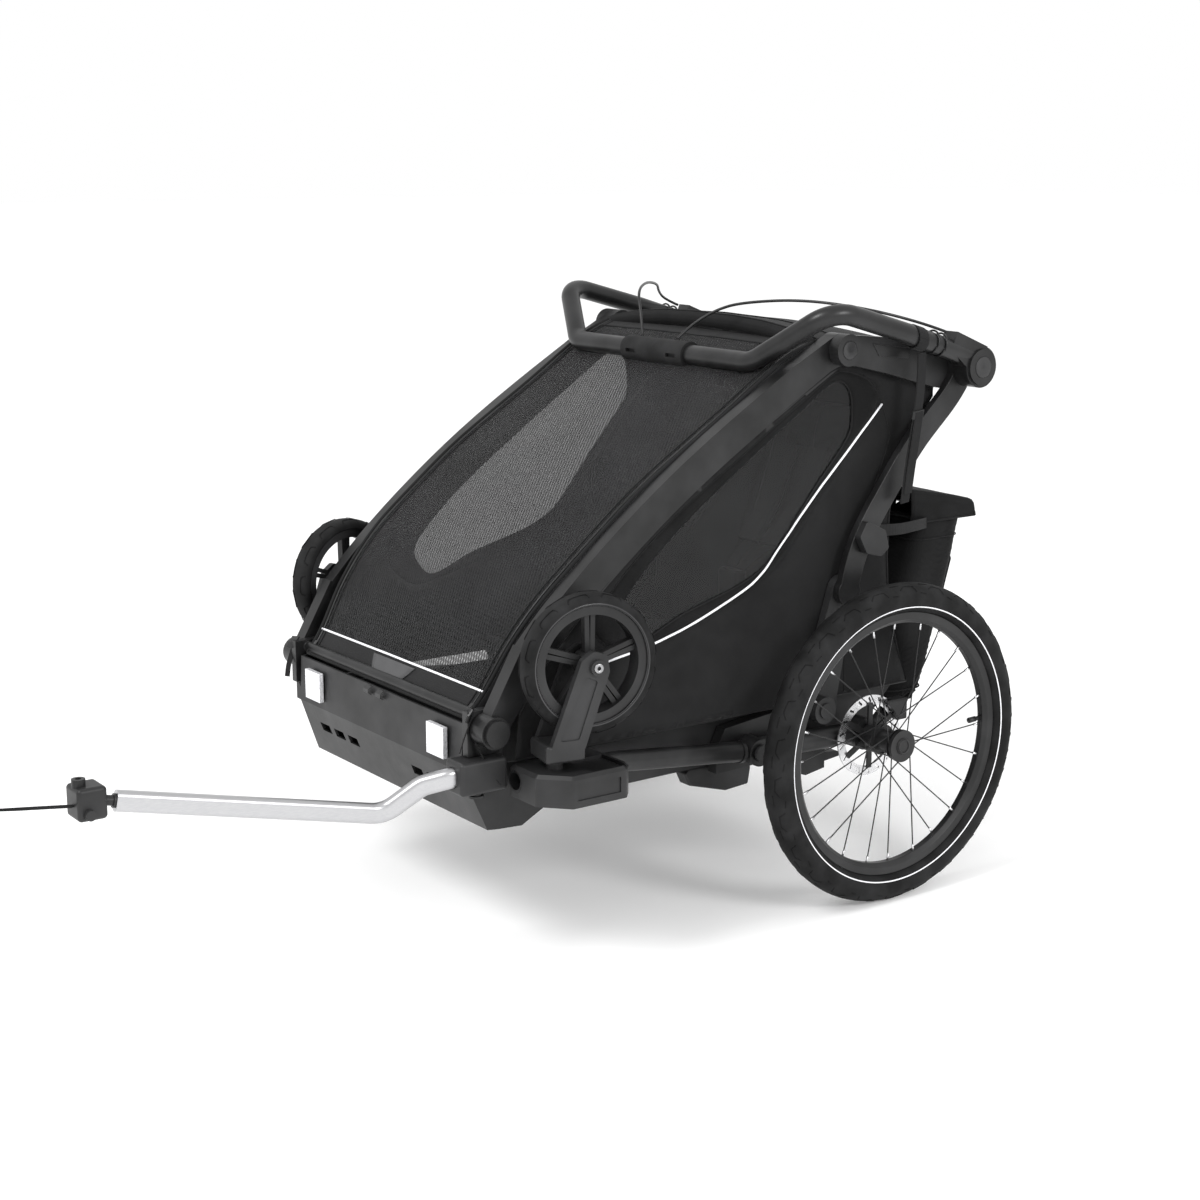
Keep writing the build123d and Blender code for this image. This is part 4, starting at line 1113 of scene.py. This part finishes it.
def wrist_strap():
    guide = cord_curve("wrist_guide", WRIST_ROUTE)
    bpy.context.view_layer.update()
    graph = bpy.context.evaluated_depsgraph_get()
    mesh = bpy.data.meshes.new_from_object(guide.evaluated_get(graph))
    line = [v.co.copy() for v in mesh.vertices]
    bpy.data.objects.remove(guide)
    band = strip("wrist_strap_band", line, 0.018, 0.0026, "webbing", "handlebar", (0, 1, 0.12))
    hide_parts("wrist_strap")
    ring = []
    for a in range(0, 360, 12):
        turn = radians(a)
        ring.append(at(335 + 17.4 * cos(turn), 64, 862 + 17.4 * sin(turn)))
    around = strip("wrist_strap_ring", ring + ring[:1], 0.02, 0.0022, "webbing", "handlebar", (0, 1, -0.3))
    slide = [at(335, 73 - k * 2.2, 752 - k * 12) for k in range(2)]
    keeper = strip("wrist_strap_keeper", slide, 0.022, 0.007, "buckle_plastic", "handlebar", (0, 1, 0.12))
    second = [at(338, 72, 750), at(338.6, 65, 706), at(338, 58, 660), at(337, 54, 626)]
    fold = strip("wrist_strap_fold", second, 0.017, 0.0022, "webbing", "handlebar", (0, 1, 0.12))

def safety_strap():
    cord = cord_curve("safety_strap_cord", SAFETY_ROUTE, 0.002)
    cord.data.materials.append(PALETTE["webbing"])
    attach(cord, "coupler")
    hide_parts("safety_strap")


def brake_cables():
    for name, route in (("brake_cable_near", BRAKE_NEAR), ("brake_cable_far", BRAKE_FAR)):
        cable = cord_curve(name, route, 0.0022)
        cable.data.materials.append(PALETTE["cable_black"])
        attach(cable, "handlebar")
        if route is BRAKE_NEAR:
            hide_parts("brake_cables")


def corner_straps():
    """Webbing that pulls the cover's lower corners down to the bumper."""
    for side, sign in SIDES:
        outward = (0.8 * sign, -0.5, 0)
        routes = (("front", [(262, -682, 384), (262, -690, 366), (261, -698, 346), (258, -703, 327)], 0.009),
                  ("hook", [(270, -684, 342), (275, -672, 312), (280, -660, 290), (283, -652, 279)], 0.008))
        for name, route, width in routes:
            line = smooth_line([at(sign * x, y, z) for x, y, z in route], 16)
            strip(f"corner_strap_{name}_{side}", line, width, 0.0016, "webbing", "chassis", outward)
        clip = [at(sign * 262, -683, 388), at(sign * 262, -690, 380), at(sign * 262, -694, 371)]
        strip(f"corner_clip_{side}", clip, 0.014, 0.004, "buckle_plastic", "chassis", outward)


def small_parts():
    for side, sign in SIDES:
        plate = [at(sign * 303.6, y, z) for y, z in ((5, 854), (84, 843), (78, 828), (18, 834))]
        badge = piece(f"rail_badge_{side}", plate, [(0, 1, 2, 3)], "badge_black", "top_frame",
                      smooth=False)
        solidify(badge, 0.002, 0.0)
        bevel = badge.modifiers.new("edges", "BEVEL")
        bevel.width, bevel.segments = 0.0016, 3
        for x, (y, z), look in ((309.1, (-46, 847), "knob_grey"), (350.1, (193, 811), "knob_grey")):
            radius = 0.0145 if x < 320 else 0.017
            body = "top_frame" if x < 320 else "handlebar"
            disc = [(0.0, 0.0), (0.0012, 0.0), (0.0011, radius - 0.002), (0.0, radius)]
            lathe(f"knob_disc_{int(x)}_{side}", disc, at(sign * x, y, z), (sign, 0, 0), look, body, 48)
        cable = smooth_line([at(sign * 298, 196, 776), at(sign * 298, 186, 758), at(sign * 297, 172, 750),
                             at(sign * 296, 152, 744), at(sign * 295, 138, 748)], 30)
        tube(f"rail_cable_{side}", cable, 0.0022, "cable_black", "top_frame", 8)
        for n, (y, z) in enumerate(((112, 849), (96, 854))):
            turns = [radians(a) for a in range(0, 360, 12)]
            loop = [at(sign * (333.5 + 17 * cos(a)), y + 4.5 * sin(a), z + 17 * sin(a)) for a in turns]
            tube(f"bar_tie_{n}_{side}", loop, 0.0016, "buckle_plastic", "handlebar", 8, closed=True)
        bush = [(-0.0125, 0.0178), (-0.006, 0.0186), (0.006, 0.0186), (0.0125, 0.0178)]
        lathe(f"suspension_bush_{side}", bush, at(sign * 300, -188, 255), (0, 1, -0.03), "moulded_black",
              f"suspension_{side}", 40)


# ---- assembled ------------------------------------------------------------------------------------------

camera()
wrist_strap()
safety_strap()
brake_cables()
studio()
dress_cad_nodes()
front_cover()
side_cloth()
roof()
rear_cloth()
seat_and_harness()
cargo_bag()
for side_name, side_sign in SIDES:
    tyre(side_name, side_sign)
    wheel_trim(side_name, side_sign)
    stroller_wheel(side_name, side_sign)
corner_straps()
small_parts()
